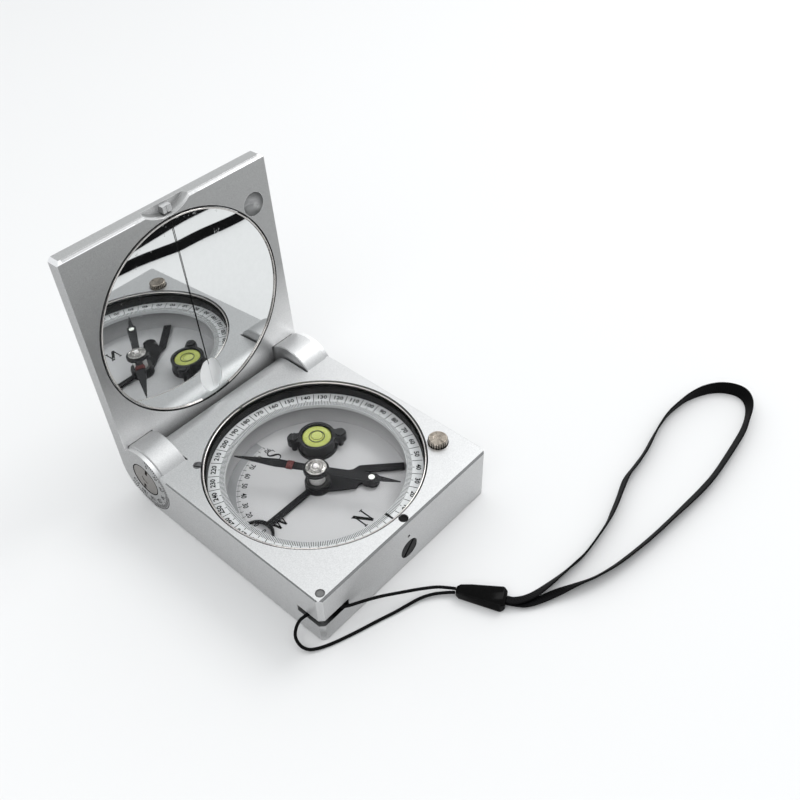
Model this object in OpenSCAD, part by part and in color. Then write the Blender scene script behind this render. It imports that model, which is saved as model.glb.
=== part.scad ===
// Pocket geological compass: a cast case with an underfloor dial, a round level, a pendulum
// clinometer, a braked needle, a geared azimuth ring and a hinged lid with a sighting mirror.
// Millimetres. The origin lies on the underside, below the needle's pivot.
// +Z is up, the hinge runs along X behind the dial (+Y), and the case's front faces -Y.

/* [Case] */
// Width of the case along the hinge
body_w = 68; // [67:0.5:70]
// Height of the case from its underside to its top face
base_h = 17.9; // [17.5:0.1:18.5]
// Distance from the needle's pivot to the front face
front_y = 35.5; // [35.2:0.1:37]
// Slope across the case's two front corners
corner_cut = 1.2; // [0.6:0.1:1.6]
// Small slope along the case's other edges
edge_cut = 0.35; // [0.2:0.05:0.5]

/* [Hinge and lid] */
// Distance from the needle's pivot to the hinge line
hinge_y = 36; // [36:0.1:37]
// Height of the hinge line above the underside
hinge_z = 11.35; // [11.2:0.05:11.5]
// Radius of the two round ears of the case
ear_r = 10.7; // [10.2:0.1:10.8]
// Radius of the barrel between the ears
barrel_r = 6.55; // [6.3:0.05:6.6]
// Thickness of the lid
lid_t = 4.35; // [4.2:0.05:4.5]
// Length of the lid from the hinge line to its free edge
lid_len = 71.8; // [71.5:0.1:74]
// Angle to which the lid stands open
lid_open = 93.5; // [0:0.5:130]

/* [Dial] */
// Radius of the dial's hole in the top face
dial_r = 32.35; // [32.3:0.05:32.5]
// Radius of the cavity under the azimuth ring
cavity_r = 27; // [26.8:0.1:27.2]
// Height of the cavity's floor above the underside
floor_z = 4.4; // [4.3:0.1:4.6]
// Number of teeth on the azimuth ring
ring_teeth = 72; // [72]
// Number of teeth on the declination pinion
pinion_teeth = 6; // [6]

/* [Needle] */
// Length of the needle from its pivot to either tip
needle_r = 25; // [23:0.5:25.5]
// Direction of the needle's north end, measured from +X
needle_angle = -61; // [-180:1:180]
// Direction of the clinometer's long arm, measured from +X
clino_angle = -45; // [-50:1:-40]

/* [Lanyard] */
// Thickness of the thin cord
cord_d = 0.9; // [0.7:0.1:1.2]
// Width of the flat wrist strap
strap_w = 4.2; // [3.4:0.1:4.2]
// Thickness of the flat wrist strap
strap_t = 0.7; // [0.5:0.1:0.7]

/* [Hidden] */
$fn = 96;
half_w = body_w / 2;

// Hinge: the cheeks are the lid's thin side plates, the ears lie between them and the barrel
cheek_t = 1.2;
cheek_x = half_w - cheek_t;
ear_out = cheek_x - 0.05;
ear_in = 24.4;
barrel_x = 23.9;
lid_in = base_h + 0.1 - hinge_z;
lid_out = lid_in + lid_t;
cheek_r = 10.3;
shell_end = -138;
pivot_r = 3;
pivot_head_r = 5.3;
pivot_len = 7;

// Levels of the dial's parts
plate_t = 0.8;
plate_z = floor_z + plate_t;
ring_z = 11.95;
ring_top = 13.1;
ring_in = 26.2;
ring_out = 32.25;
channel_r = 28.5;
channel_z = 8;
spacer_z = 13.2;
gasket_z = 15.8;
glass_z = 16;
glass_t = 1.2;

// Declination gear: crown teeth under the ring, a pinion on the screw in the front wall
screw_z = 6.36;
mesh_r = 30.5;
pinion_pitch = mesh_r * pinion_teeth / ring_teeth;
pinion_tip = 3.2;
pinion_root = 1.7;
pinion_front = -32.2;
pinion_back = -28.8;
crown_tip_z = 8.25;
crown_root_z = 9.8;

// Brake: a knob at the front right corner turns a slanted foot over a lever under the dial
knob_pos = [27.5, -22.8];
knob_angle = atan2(knob_pos[1], knob_pos[0]);
knob_dist = norm(knob_pos);
knob_r = 2.9;
knob_base = 16.6;
knob_top = 19.7;
foot_z = 3.405;
foot_tilt = 8.3;
lever_pivot = 24;
lever_z = 2.4;
lever_t = 0.8;
channel_floor = 1.8;

// Round level and its screws
level_pos = [11.4, 11.5];
level_lug = 7.1;
level_lug_angle = -41;
level_top = 10;

// Lid: the mirror, the window near the hinge, the thumb cut and the fore sight
mirror_s = 37;
mirror_r = 31;
mirror_t = 1.8;
mirror_seat = 2;
window_s = 13.3;
thumb_r = 11.2;
thumb_s = 80.2;
thumb_depth = 2.6;

// Lanyard corner: a pin stands in a slot sawn with a round cutter
slot_cutter = [-38.8, -41.8];
slot_r = 16;
slot_low = 6.5;
slot_high = 9;
lanyard_pin_pos = [-31.5, -33.4];
lanyard_pin_r = 1.3;

// Routes of the cord and the strap, each point on the middle of the cord
route_right = [
    [-30.6, -31.2, 7.8], [-29.4, -31.7, 7.8], [-27.6, -33.7, 7.8], [-25.3, -35.9, 7.5],
    [-20.2, -38.0, 6.4], [-16.0, -39.7, 5.2], [-12.2, -41.6, 4.1], [-8.3, -43.8, 3.2],
    [-5.4, -45.6, 2.6], [-2.6, -47.7, 2.1], [-0.7, -49.9, 1.8], [0.6, -51.7, 1.6]];
route_left = [
    [-30.6, -31.2, 7.8], [-31.8, -30.7, 7.8], [-35.3, -29.6, 7.3], [-36.8, -29.2, 5.8],
    [-38.0, -29.4, 4.2], [-38.8, -30.1, 3.0], [-39.2, -31.4, 2.1], [-39.1, -33.0, 1.5],
    [-38.2, -34.5, 1.0], [-36.5, -35.7, 0.7], [-34.5, -36.7, 0.5], [-31.8, -37.9, 0.5],
    [-28.3, -39.2, 0.5], [-24.8, -40.4, 0.5], [-21.6, -41.4, 0.5], [-18.3, -42.5, 0.5],
    [-14.9, -43.7, 0.6], [-11.4, -44.8, 0.8], [-7.8, -46.1, 1.1], [-4.8, -47.8, 1.2],
    [-2.3, -50.0, 1.3], [-0.4, -52.2, 1.5]];
// The strap's points have a fourth number, which is how far the band leans over to its left
route_strap = [
    [6.6, -64.2, 1.95, -80], [7.56, -66.03, 1.95, -80], [10.3, -67.9, 1.8, -70],
    [14.3, -69.2, 1.5, -55], [20, -70.4, 1.85, -35], [27, -71.4, 2.05, -20],
    [33.5, -71.9, 2.1, -15], [45.5, -70.8, 2.1, -15], [51.5, -69.5, 2.1, -20],
    [57.5, -67.8, 2.05, -20], [64.5, -65.8, 2, -25], [70.5, -65.3, 2, -25],
    [77.4, -64.6, 2.05, -20], [84.4, -63.2, 2.1, -15], [90.3, -62.2, 2.1, -10],
    [96.1, -61.7, 2.1, -10], [101.6, -62, 2.1, -10], [107.2, -62.9, 2.15, -5],
    [112.7, -64.9, 2.15, 5], [117.2, -68, 2.1, 10], [119.6, -71.8, 2.1, 15],
    [119.9, -75.4, 2.1, 20], [117.8, -78.4, 2.1, 20], [114, -80.6, 2.1, 20],
    [108.3, -82.3, 2.1, 20], [101, -83.7, 2, 30], [85.4, -85.1, 2, 30],
    [76.5, -85.2, 1.9, 35], [67.5, -84.6, 1.85, 35], [59.4, -83.9, 1.9, 30],
    [51.3, -83.1, 1.9, 30], [43.3, -82, 1.9, 30], [35.3, -80.5, 1.9, 30],
    [28.4, -78.4, 1.9, 30], [22.6, -75.6, 1.75, 40], [17.6, -73, 1.2, 60],
    [13, -70.9, 1.05, 70], [9.4, -68.6, 1, 80], [7.56, -66.03, 1, 80], [6.6, -64.2, 1, 80]];
clasp_nose = [0.2, -52.0];
clasp_tail = [6.6, -64.2];
clasp_angle = atan2(clasp_tail[1] - clasp_nose[1], clasp_tail[0] - clasp_nose[0]);
clasp_len = norm(clasp_tail - clasp_nose);

// Shapes shared by several parts

// A flat ring or tube: outer radius, inner radius, lower face, upper face
module tube(r_out, r_in, z_low, z_high) {
    translate([0, 0, z_low])
        difference() {
            cylinder(r = r_out, h = z_high - z_low);
            translate([0, 0, -1])
                cylinder(r = r_in, h = z_high - z_low + 2);
        }
}

// A round bar from one height to another
module bar(r, z_low, z_high) {
    translate([0, 0, z_low])
        cylinder(r = r, h = z_high - z_low);
}

// Extrudes a profile drawn as (Y, Z) along X, between two X values
module along_x(x_low, x_high) {
    translate([x_low, 0, 0])
        rotate([90, 0, 90])
            linear_extrude(x_high - x_low)
                children();
}

// Extrudes a profile drawn as (X, Z) along Y, between two Y values
module along_y(y_low, y_high) {
    translate([0, y_high, 0])
        rotate([90, 0, 0])
            linear_extrude(y_high - y_low)
                children();
}

// A pie slice of a disc between two angles less than 180 degrees apart
module slice(r, a_low, a_high) {
    a_mid = (a_low + a_high) / 2;
    reach = r / cos((a_high - a_low) / 4) + 1;
    polygon([
        [0, 0], reach * [cos(a_low), sin(a_low)],
        reach * [cos((a_low + a_mid) / 2), sin((a_low + a_mid) / 2)],
        reach * [cos(a_mid), sin(a_mid)],
        reach * [cos((a_high + a_mid) / 2), sin((a_high + a_mid) / 2)],
        reach * [cos(a_high), sin(a_high)]]);
}

// Carries the lid's shapes, drawn shut about the hinge line, to the angle it stands at:
// in its own frame the lid runs toward -Y and its inner face lies lid_in above the line
module on_lid() {
    translate([0, hinge_y, hinge_z])
        rotate([-lid_open, 0, 0])
            children();
}

// Places a shape on the line from the dial's centre to the brake knob
module toward_knob() {
    rotate([0, 0, knob_angle])
        children();
}

// The case

// Outline of the case from above, with its two front corners sloped
module case_plan() {
    polygon([
        [-half_w, hinge_y], [-half_w, -front_y + corner_cut],
        [-half_w + corner_cut, -front_y], [half_w - corner_cut, -front_y],
        [half_w, -front_y + corner_cut], [half_w, hinge_y]]);
}

// Outline of the case from its side, with sloped edges at the front and below the hinge
module case_side() {
    polygon([
        [-front_y + edge_cut, 0], [hinge_y - 0.7, 0], [hinge_y, 0.7], [hinge_y, base_h],
        [-front_y + 0.6, base_h], [-front_y, base_h - 0.6], [-front_y, edge_cut]]);
}

// Outline of the case from the front, with sloped side edges
module case_front() {
    polygon([
        [-half_w + edge_cut, 0], [half_w - edge_cut, 0], [half_w, edge_cut],
        [half_w, base_h - edge_cut], [half_w - edge_cut, base_h],
        [-half_w + edge_cut, base_h], [-half_w, base_h - edge_cut], [-half_w, edge_cut]]);
}

module case_block() {
    intersection() {
        linear_extrude(base_h)
            case_plan();
        along_x(-half_w, half_w)
            case_side();
        along_y(-front_y, hinge_y)
            case_front();
    }
}

// The space that the lid's rolled edge turns through below the barrel
module shell_space() {
    along_x(-ear_in, ear_in)
        translate([hinge_y, hinge_z])
            slice(16, shell_end, -60);
}

// One round ear with its outer rim sloped
module ear(x_low, x_high, rim) {
    translate([x_low, hinge_y, hinge_z])
        rotate([0, 90, 0])
            rotate_extrude()
                polygon([
                    [0, 0], [ear_r - rim[0], 0], [ear_r, rim[0]],
                    [ear_r, x_high - x_low - rim[1]], [ear_r - rim[1], x_high - x_low],
                    [0, x_high - x_low]]);
}

// The dial's stepped hole, from the glass seat down to the floor
module dial_hole() {
    bar(dial_r, 11.9, base_h + 1);
    tube(dial_r, channel_r, channel_z, 12.5);
    bar(cavity_r, floor_z, 12.5);
}

// Pocket and bearings of the declination screw, reached from the front face
module screw_hole() {
    translate([-3.6, pinion_front - 0.2, 2.9])
        cube([7.2, pinion_back - pinion_front + 0.6, 7.1]);
    translate([0, -front_y - 1, screw_z])
        rotate([-90, 0, 0]) {
            cylinder(r = 3.25, h = 2.5);
            cylinder(r = 1.55, h = 4.5);
            cylinder(r = 1.05, h = front_y + 1 - cavity_r + 0.5);
        }
}

// Groove, tunnel and holes of the brake under the dial
module brake_space() {
    bar(5, channel_floor, floor_z + 1);
    toward_knob() {
        translate([0, -2, channel_floor])
            cube([26, 4, floor_z + 1 - channel_floor]);
        translate([0, -2, channel_floor])
            cube([38.5, 4, 3.6 - channel_floor]);
        translate([lever_pivot, 3.25, lever_z + lever_t / 2])
            rotate([90, 0, 0])
                cylinder(r = 0.5, h = 6.5);
    }
    translate(knob_pos) {
        bar(1.5, 3, base_h);
        bar(2.6, 15.2, base_h);
        bar(3.15, 16.4, base_h + 1);
    }
}

module base_case() {
    color("silver")
        difference() {
            union() {
                difference() {
                    case_block();
                    // slots beside the ears, and the steps for the lid's cheeks
                    for (side = [-1, 1]) {
                        translate([side > 0 ? barrel_x : -ear_in, 27.3, -1])
                            cube([ear_in - barrel_x, 20, base_h + 2]);
                        translate([side > 0 ? ear_out : -half_w - 1, hinge_y - 0.5, -1])
                            cube([half_w - ear_out + 1, 5, base_h + 2]);
                        translate([side * ear_out, hinge_y, hinge_z])
                            rotate([0, side * 90, 0])
                                cylinder(r = 10.45, h = 5);
                    }
                    shell_space();
                }
                along_x(-barrel_x, barrel_x)
                    translate([hinge_y, hinge_z])
                        circle(r = barrel_r);
                ear(ear_in, ear_out, [0.3, 0.3]);
                ear(-ear_out, -ear_in, [0.3, 0.3]);
            }
            dial_hole();
            screw_hole();
            brake_space();
            // bores of the hinge pivots
            for (side = [-1, 1])
                translate([side * (ear_out - pivot_len), hinge_y, hinge_z])
                    rotate([0, side * 90, 0])
                        cylinder(r = pivot_r, h = 20);
            // corner slot and the hole of its pin, drilled from the top
            translate([slot_cutter[0], slot_cutter[1], slot_low])
                cylinder(r = slot_r, h = slot_high - slot_low, $fn = 180);
            translate([lanyard_pin_pos[0], lanyard_pin_pos[1], 2])
                cylinder(r = lanyard_pin_r, h = base_h);
            // small round seats beside the dial, the index hole in the front and screw holes
            translate([0, -33.6, 15])
                cylinder(r = 1.4, h = 4);
            translate([-23.6, 23.4, 15])
                cylinder(r = 1.4, h = 4);
            translate([0, -front_y - 1, 11.7])
                rotate([-90, 0, 0])
                    cylinder(r = 0.5, h = 1.8);
            at_level_screws()
                bar(0.9, 2.6, floor_z + 1);
        }
}

// The dial

module at_level_screws() {
    translate(level_pos)
        rotate([0, 0, level_lug_angle])
            for (side = [-1, 1])
                translate([side * level_lug, 0, 0])
                    children();
}

module dial_plate() {
    color("gainsboro")
        difference() {
            bar(cavity_r - 0.1, floor_z, plate_z);
            bar(2.4, floor_z - 1, plate_z + 1);
            at_level_screws()
                bar(0.9, floor_z - 1, plate_z + 1);
        }
}

// One straight crown tooth, narrower at its tip
module crown_tooth() {
    translate([0, -28.85, 0])
        rotate([90, 0, 0])
            linear_extrude(3.3)
                polygon([
                    [-0.45, crown_root_z + 0.2], [-0.28, crown_tip_z], [0.28, crown_tip_z],
                    [0.45, crown_root_z + 0.2]]);
}

module azimuth_ring() {
    color("whitesmoke") {
        tube(ring_out, ring_in, ring_z, ring_top);
        tube(ring_out, channel_r + 0.2, crown_root_z, ring_z + 0.1);
        for (i = [0 : ring_teeth - 1])
            rotate([0, 0, (i + 0.5) * 360 / ring_teeth])
                crown_tooth();
    }
}

module declination_screw() {
    color("dimgray")
        difference() {
            translate([0, -front_y + 0.1, screw_z])
                rotate([-90, 0, 0]) {
                    cylinder(r = 3.15, h = 1.35);
                    cylinder(r = 1.5, h = 3.05);
                    cylinder(r = 1, h = front_y - 0.1 - cavity_r - 0.2);
                }
            // driver slot
            translate([0, -front_y - 0.4, screw_z])
                rotate([0, 40, 0])
                    cube([0.8, 2, 8], center = true);
        }
}

module declination_pinion() {
    color("darkgoldenrod")
        along_y(pinion_front, pinion_back)
            translate([0, screw_z])
                difference() {
                    union() {
                        circle(r = pinion_root);
                        for (i = [0 : pinion_teeth - 1])
                            rotate([0, 0, i * 360 / pinion_teeth])
                                polygon([
                                    [-0.5, 0], [0.5, 0], [0.5, pinion_root],
                                    [0.25, pinion_tip], [-0.25, pinion_tip],
                                    [-0.5, pinion_root]]);
                    }
                    circle(r = 1);
                }
}

module spacer_ring() {
    color("black")
        tube(dial_r, 31.1, spacer_z, gasket_z);
}

module glass_gasket() {
    color("black")
        tube(31.9, 31.1, gasket_z, glass_z);
}

module cover_glass() {
    color("white", 0.3)
        bar(31.9, glass_z, glass_z + glass_t);
}

// A sprung ring with a narrow gap in its back
module retaining_ring() {
    color("lightgray")
        difference() {
            tube(32, 31, glass_z + glass_t, glass_z + glass_t + 0.5);
            translate([-0.4, 30, glass_z])
                cube([0.8, 4, 3]);
        }
}

module index_plug() {
    color("black")
        difference() {
            translate([0, -33.6, 0])
                bar(1.4, 15, 17.3);
            bar(dial_r, 14, 19);
        }
}

module ring_lock_screw() {
    color("gainsboro")
        difference() {
            translate([-23.6, 23.4, 0])
                bar(1.4, 15, 17.3);
            bar(dial_r, 14, 19);
            translate([-23.6, 23.4, 17.3])
                rotate([0, 0, 30])
                    cube([0.4, 4, 0.8], center = true);
        }
}

// The round level

module level_body() {
    color("black")
        difference() {
            union() {
                translate(level_pos) {
                    bar(6.1, plate_z, 6.2);
                    bar(5.7, plate_z, level_top);
                }
                at_level_screws()
                    bar(1.9, 7.6, level_top);
                translate(level_pos)
                    rotate([0, 0, level_lug_angle])
                        translate([-level_lug, -1.9, 7.6])
                            cube([2 * level_lug, 3.8, level_top - 7.6]);
            }
            translate(level_pos) {
                bar(4.4, 6, level_top + 1);
                bar(4.8, 9.4, level_top + 1);
            }
            at_level_screws()
                bar(0.9, plate_z - 1, level_top + 1);
        }
}

module level_vial() {
    color("yellowgreen")
        translate(level_pos)
            bar(4.4, 6, 9.4);
}

// The level's glass, rounded over its edge
module level_lens() {
    color("white", 0.4)
        translate(level_pos)
            rotate_extrude()
                polygon([[0, 9.4], [4.7, 9.4], [4.7, 9.8], [4.3, 10], [0, 10.05]]);
}

module level_screws() {
    color("black")
        at_level_screws() {
            bar(0.9, 2.8, level_top + 0.1);
            difference() {
                bar(1.5, level_top, level_top + 0.7);
                translate([0, 0, level_top + 0.7])
                    cube([0.35, 4, 0.7], center = true);
            }
        }
}

// The pivot and the clinometer

module pivot_post() {
    color("silver")
        rotate_extrude()
            polygon([
                [0, channel_floor], [0.85, channel_floor], [0.85, 12.9], [0.12, 13.7],
                [0, 13.7]]);
}

module clinometer_bush() {
    color("dimgray")
        difference() {
            union() {
                bar(3.8, plate_z, 5.6);
                bar(3, plate_z, 8.1);
                bar(3.6, 7.9, 8.4);
            }
            bar(2.4, plate_z - 1, 9);
        }
}

// Outline of the pendulum: (a, o) runs along the long arm and across it
function arm_point(a, o) = [
    a * cos(clino_angle) - o * sin(clino_angle),
    a * sin(clino_angle) + o * cos(clino_angle)];

module clinometer_arm() {
    color("black") {
        difference() {
            union() {
                translate([0, 0, 5.9])
                    linear_extrude(0.6)
                        arm_outline();
                bar(3.8, 5.68, 7.8);
            }
            bar(3.05, 5, 9);
        }
    }
}

module arm_outline() {
    // long arm, with the lobe that bears the pointer
    polygon([
        arm_point(0, -3), arm_point(6.7, -2.8), arm_point(11.2, -2.4), arm_point(11.9, -1.2),
        arm_point(12.9, -0.8), arm_point(14.2, -2), arm_point(17.5, -0.5),
        arm_point(17.5, 1.6), arm_point(13.5, 3.6), arm_point(25.9, 3.7),
        arm_point(25.9, 6.3), arm_point(12.5, 6.2), arm_point(10.5, 4.8),
        arm_point(0, 3.4)]);
    translate(arm_point(16, -0.2))
        circle(r = 2.2);
    // short arm toward -X with its open crescent
    translate([-20.4, -1])
        square([20.4, 2]);
    difference() {
        translate([-24.4, 0])
            circle(r = 5.1);
        translate([-25.3, 0])
            circle(r = 4.9);
        translate([-40, -6])
            square([17, 12]);
        translate([-40, -6])
            square([18.4, 6]);
    }
}

// The needle and its lifting gear

module lift_sleeve() {
    color("silver")
        difference() {
            union() {
                bar(2.3, 3.3, 12.45);
                bar(3.2, 3.3, 3.55);
            }
            bar(0.93, 3, 13);
        }
}

// Half of the needle's outline, as (distance, half width) pairs from the hub outward
north_half = [[3.6, 1.25], [8, 1.3], [14.5, 1.55], [17.6, 1.6], [18.6, 0.95], [25, 0.12]];
south_half = [[3.6, 1.25], [9, 1.35], [12, 1.5], [14.5, 1.3], [25, 0.12]];

// The blade's outline from its pairs, with the outer ones drawn to the needle's length
module blade(pairs) {
    stretch = needle_r / 25;
    last = len(pairs) - 1;
    polygon([
        [0, pairs[0][1]],
        for (p = pairs) [p[0] * stretch, p[1]],
        for (i = [last : -1 : 0]) [pairs[i][0] * stretch, -pairs[i][1]],
        [0, -pairs[0][1]]]);
}

module at_needle() {
    rotate([0, 0, needle_angle])
        children();
}

module needle() {
    color("black")
        difference() {
            union() {
                at_needle()
                    translate([0, 0, 12.85])
                        linear_extrude(0.3) {
                            blade(north_half);
                            rotate(180)
                                blade(south_half);
                        }
                bar(3.8, 12.5, 13.3);
            }
            bar(1.2, 12, 14);
        }
}

module needle_cap() {
    color("silver")
        difference() {
            union() {
                bar(1.2, 12.5, 14);
                bar(3.1, 13.3, 13.85);
                bar(2.5, 13.3, 14.1);
                bar(1.8, 13.3, 14.4);
            }
            bar(0.8, 13.7, 15);
            bar(0.95, 12, 13.72);
        }
}

// The jewel has a hollow below it for the pivot's point
module needle_jewel() {
    color("crimson")
        rotate_extrude()
            polygon([[0, 13.78], [0.8, 13.72], [0.8, 14.5], [0.5, 14.85], [0, 14.9]]);
}

// Balance wire wound round the south end, drawn as one close band
module balance_coil() {
    color("brown")
        at_needle()
            translate([-8.8, 0, 13])
                difference() {
                    translate([0, -1.65, -0.5])
                        cube([1.9, 3.3, 1]);
                    translate([-1, -1.35, -0.15])
                        cube([3.9, 2.7, 0.3]);
                }
}

module luminous_dot() {
    color("white")
        at_needle()
            translate([16.5, 0, 0])
                bar(0.9, 13.15, 13.3);
}

// The brake

// Knurls are straight grooves round the knob's rim
module brake_knob() {
    color("silver")
        translate(knob_pos)
            difference() {
                union() {
                    rotate_extrude()
                        polygon([
                            [0, knob_base], [knob_r, knob_base], [knob_r, knob_top - 0.3],
                            [knob_r - 0.3, knob_top], [0, knob_top]]);
                    bar(1.45, 3.1, knob_base + 0.1);
                }
                for (i = [0 : 23])
                    rotate([0, 0, i * 15])
                        translate([knob_r + 0.08, 0, knob_base + 1])
                            rotate([0, 0, 45])
                                cube([0.4, 0.4, 6], center = true);
                // dished top
                translate([0, 0, knob_top + 6.85])
                    sphere(r = 7);
                // slanted foot, high toward the dial
                rotate([0, 0, knob_angle])
                    translate([0, 0, foot_z])
                        rotate([0, foot_tilt, 0])
                            translate([-3, -3, -3])
                                cube([6, 6, 3]);
            }
}

module knob_bush() {
    color("darkgoldenrod")
        translate(knob_pos)
            tube(2.6, 1.5, 15.2, 16.4);
}

module brake_lever() {
    color("silver")
        toward_knob()
            difference() {
                union() {
                    translate([-1.5, -1.5, lever_z])
                        cube([36.7, 3, lever_t]);
                    translate([34.5, 0, 0])
                        bar(0.3, lever_z, 3.5);
                    translate([lever_pivot, 1.5, lever_z + lever_t / 2])
                        rotate([90, 0, 0])
                            cylinder(r = 0.9, h = 3);
                }
                translate([-3, -1.2, lever_z - 1])
                    cube([3, 2.4, lever_t + 2]);
                bar(1.2, lever_z - 1, lever_z + lever_t + 1);
                translate([lever_pivot, 3, lever_z + lever_t / 2])
                    rotate([90, 0, 0])
                        cylinder(r = 0.55, h = 6);
            }
}

module lever_pin() {
    color("gray")
        toward_knob()
            translate([lever_pivot, 3.25, lever_z + lever_t / 2])
                rotate([90, 0, 0])
                    cylinder(r = 0.5, h = 6.5);
}

module lanyard_pin() {
    color("gray")
        translate([lanyard_pin_pos[0], lanyard_pin_pos[1], 0])
            bar(lanyard_pin_r, 2, base_h - 0.15);
}

// The hinge and the lid

module mirror_sides() {
    children();
    mirror([1, 0, 0])
        children();
}

// Shouldered pivots: a shank in the ear's bore and a slotted head flush with the cheek
module hinge_pivots() {
    color("silver")
        mirror_sides()
            translate([ear_out, hinge_y, hinge_z])
                rotate([0, 90, 0])
                    difference() {
                        union() {
                            bar(pivot_r, -pivot_len, 0);
                            bar(pivot_head_r, 0, cheek_t);
                        }
                        bar(1.5, -pivot_len - 1, cheek_t + 1);
                        for (turn = [20, 200])
                            rotate([0, 0, turn])
                                translate([pivot_head_r - 2.6, -0.5, cheek_t - 0.7])
                                    cube([3.2, 1, 2]);
                    }
}

module pivot_pins() {
    color("gray")
        mirror_sides()
            translate([ear_out, hinge_y, hinge_z])
                rotate([0, 90, 0])
                    bar(1.5, 0.2 - pivot_len, cheek_t - 0.1);
}

// Side outline of the lid between the ears: a plate rolled a quarter turn round the barrel
module lid_side() {
    translate([-lid_len, lid_in])
        square([lid_len, lid_t]);
    difference() {
        circle(r = lid_out);
        circle(r = lid_in);
        translate([-20, -20])
            square([20, 40]);
        translate([-1, -20])
            square([20, 20]);
    }
}

// Side outline of the lid where it clears the ears
module lid_side_scooped() {
    difference() {
        translate([-lid_len, lid_in])
            square([lid_len - 4, lid_t]);
        circle(r = ear_r + 0.15);
    }
}

// Side outline of a cheek: a strip of the lid that ends in a disc round the hinge
module cheek_side() {
    translate([-lid_len, lid_in])
        square([lid_len, lid_t]);
    circle(r = cheek_r);
    intersection() {
        circle(r = lid_out);
        slice(lid_out, 43, 91);
    }
}

// The lid's outline from above, with its free corners sloped
module lid_plan() {
    polygon([
        [-half_w, 20], [-half_w, -lid_len + 1], [-half_w + 1, -lid_len],
        [half_w - 1, -lid_len], [half_w, -lid_len + 1], [half_w, 20]]);
}

// A lens-shaped window, longer along the lid than across it
module window_shape(grow) {
    translate([0, -window_s])
        intersection() {
            circle(r = 5.9 + grow);
            translate([-4.1, 0])
                circle(r = 8.1 + grow);
            translate([4.1, 0])
                circle(r = 8.1 + grow);
        }
}

module lid_blank() {
    along_x(-barrel_x, barrel_x)
        lid_side();
    mirror_sides() {
        along_x(barrel_x - 0.1, cheek_x + 0.1)
            lid_side_scooped();
        along_x(cheek_x, half_w)
            cheek_side();
    }
}

module lid_plate() {
    color("darkgray")
        on_lid()
            difference() {
                intersection() {
                    lid_blank();
                    translate([0, 0, -15])
                        linear_extrude(30)
                            lid_plan();
                }
                // bright slope along the inner side of the free edge
                along_x(-half_w - 1, half_w + 1)
                    polygon([
                        [-lid_len - 1, lid_in - 1], [-lid_len + 1.8, lid_in - 1],
                        [-lid_len - 1, lid_in + 1.8]]);
                // holes for the pivots' heads
                translate([-half_w - 1, 0, 0])
                    rotate([0, 90, 0])
                        cylinder(r = pivot_head_r + 0.08, h = body_w + 2);
                // seat of the mirror, and the window through the plate behind it
                translate([0, -mirror_s, lid_in - 1])
                    cylinder(r = mirror_r + 0.3, h = mirror_seat + 1, $fn = 128);
                translate([0, 0, lid_in - 1])
                    linear_extrude(lid_t + 2)
                        window_shape(0);
                // thumb cut with its sloped rim
                translate([0, -thumb_s, lid_in])
                    rotate_extrude()
                        polygon([
                            [0, -1], [thumb_r + 1, -1], [thumb_r, 0.9],
                            [thumb_r - 0.3, thumb_depth], [0, thumb_depth]]);
                // hollow that clears the brake knob when the lid is shut
                translate([knob_pos[0], knob_pos[1] - hinge_y, lid_in])
                    sphere(r = 3.6);
            }
}

module mirror_glass() {
    color("lightsteelblue")
        on_lid()
            difference() {
                translate([0, -mirror_s, 0])
                    bar(mirror_r, lid_in + mirror_seat - mirror_t, lid_in + mirror_seat);
                translate([0, 0, lid_in - 1])
                    linear_extrude(lid_t)
                        window_shape(0);
            }
}

module mirror_ring() {
    color("black")
        on_lid()
            translate([0, -mirror_s, 0])
                tube(mirror_r + 0.3, mirror_r, lid_in + 0.3, lid_in + mirror_seat);
}

module sight_window() {
    color("white", 0.3)
        on_lid()
            translate([0, 0, lid_in + mirror_seat + 0.6])
                linear_extrude(0.8)
                    window_shape(0);
}

// A notched block in the thumb cut, in line with the mirror's hairline
module fore_sight() {
    color("silver")
        on_lid()
            difference() {
                translate([-1.45, -lid_len + 0.4, lid_in + 0.4])
                    cube([2.9, 2, thumb_depth - 0.4]);
                translate([0, -lid_len - 1, lid_in - 0.1])
                    rotate([0, 45, 0])
                        translate([-0.6, 0, -0.6])
                            cube([1.2, 5, 1.2]);
                translate([0, -thumb_s, lid_in])
                    tube(thumb_r + 5, thumb_r - 0.4, -1, thumb_depth + 1);
            }
}

// The lanyard

function unit(v) = v / norm(v);

// Place of a route's point i
function spot(route, i) = [route[i][0], route[i][1], route[i][2]];

// Direction of travel along a route at one of its points
function heading(route, i) =
    unit(spot(route, min(i + 1, len(route) - 1)) - spot(route, max(i - 1, 0)));

// A closed tube of oval section along a route: half width across, half height up
module swept(route, across, up, sides) {
    count = len(route);
    points = [
        for (i = [0 : count - 1])
            let (
                along = heading(route, i),
                level = unit(cross([0, 0, 1], along)),
                upright = cross(along, level),
                lean = len(route[i]) > 3 ? route[i][3] : 0,
                rise = upright * cos(lean) + level * sin(lean),
                side = level * cos(lean) - upright * sin(lean))
            for (k = [0 : sides - 1])
                let (turn = (k + 0.5) * 360 / sides)
                spot(route, i) + side * across * cos(turn) + rise * up * sin(turn)];
    walls = [
        for (i = [0 : count - 2])
            for (k = [0 : sides - 1])
                let (a = i * sides + k, b = i * sides + (k + 1) % sides)
                for (face = [[a, a + sides, b], [b, a + sides, b + sides]])
                    face];
    start = [for (k = [0 : sides - 1]) k];
    finish = [for (k = [0 : sides - 1]) count * sides - 1 - k];
    polyhedron(points = points, faces = concat(walls, [start, finish]), convexity = 6);
}

module loop_cord_right() {
    color("black")
        swept(route_right, cord_d / 2 / cos(22.5), cord_d / 2 / cos(22.5), 8);
}

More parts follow.
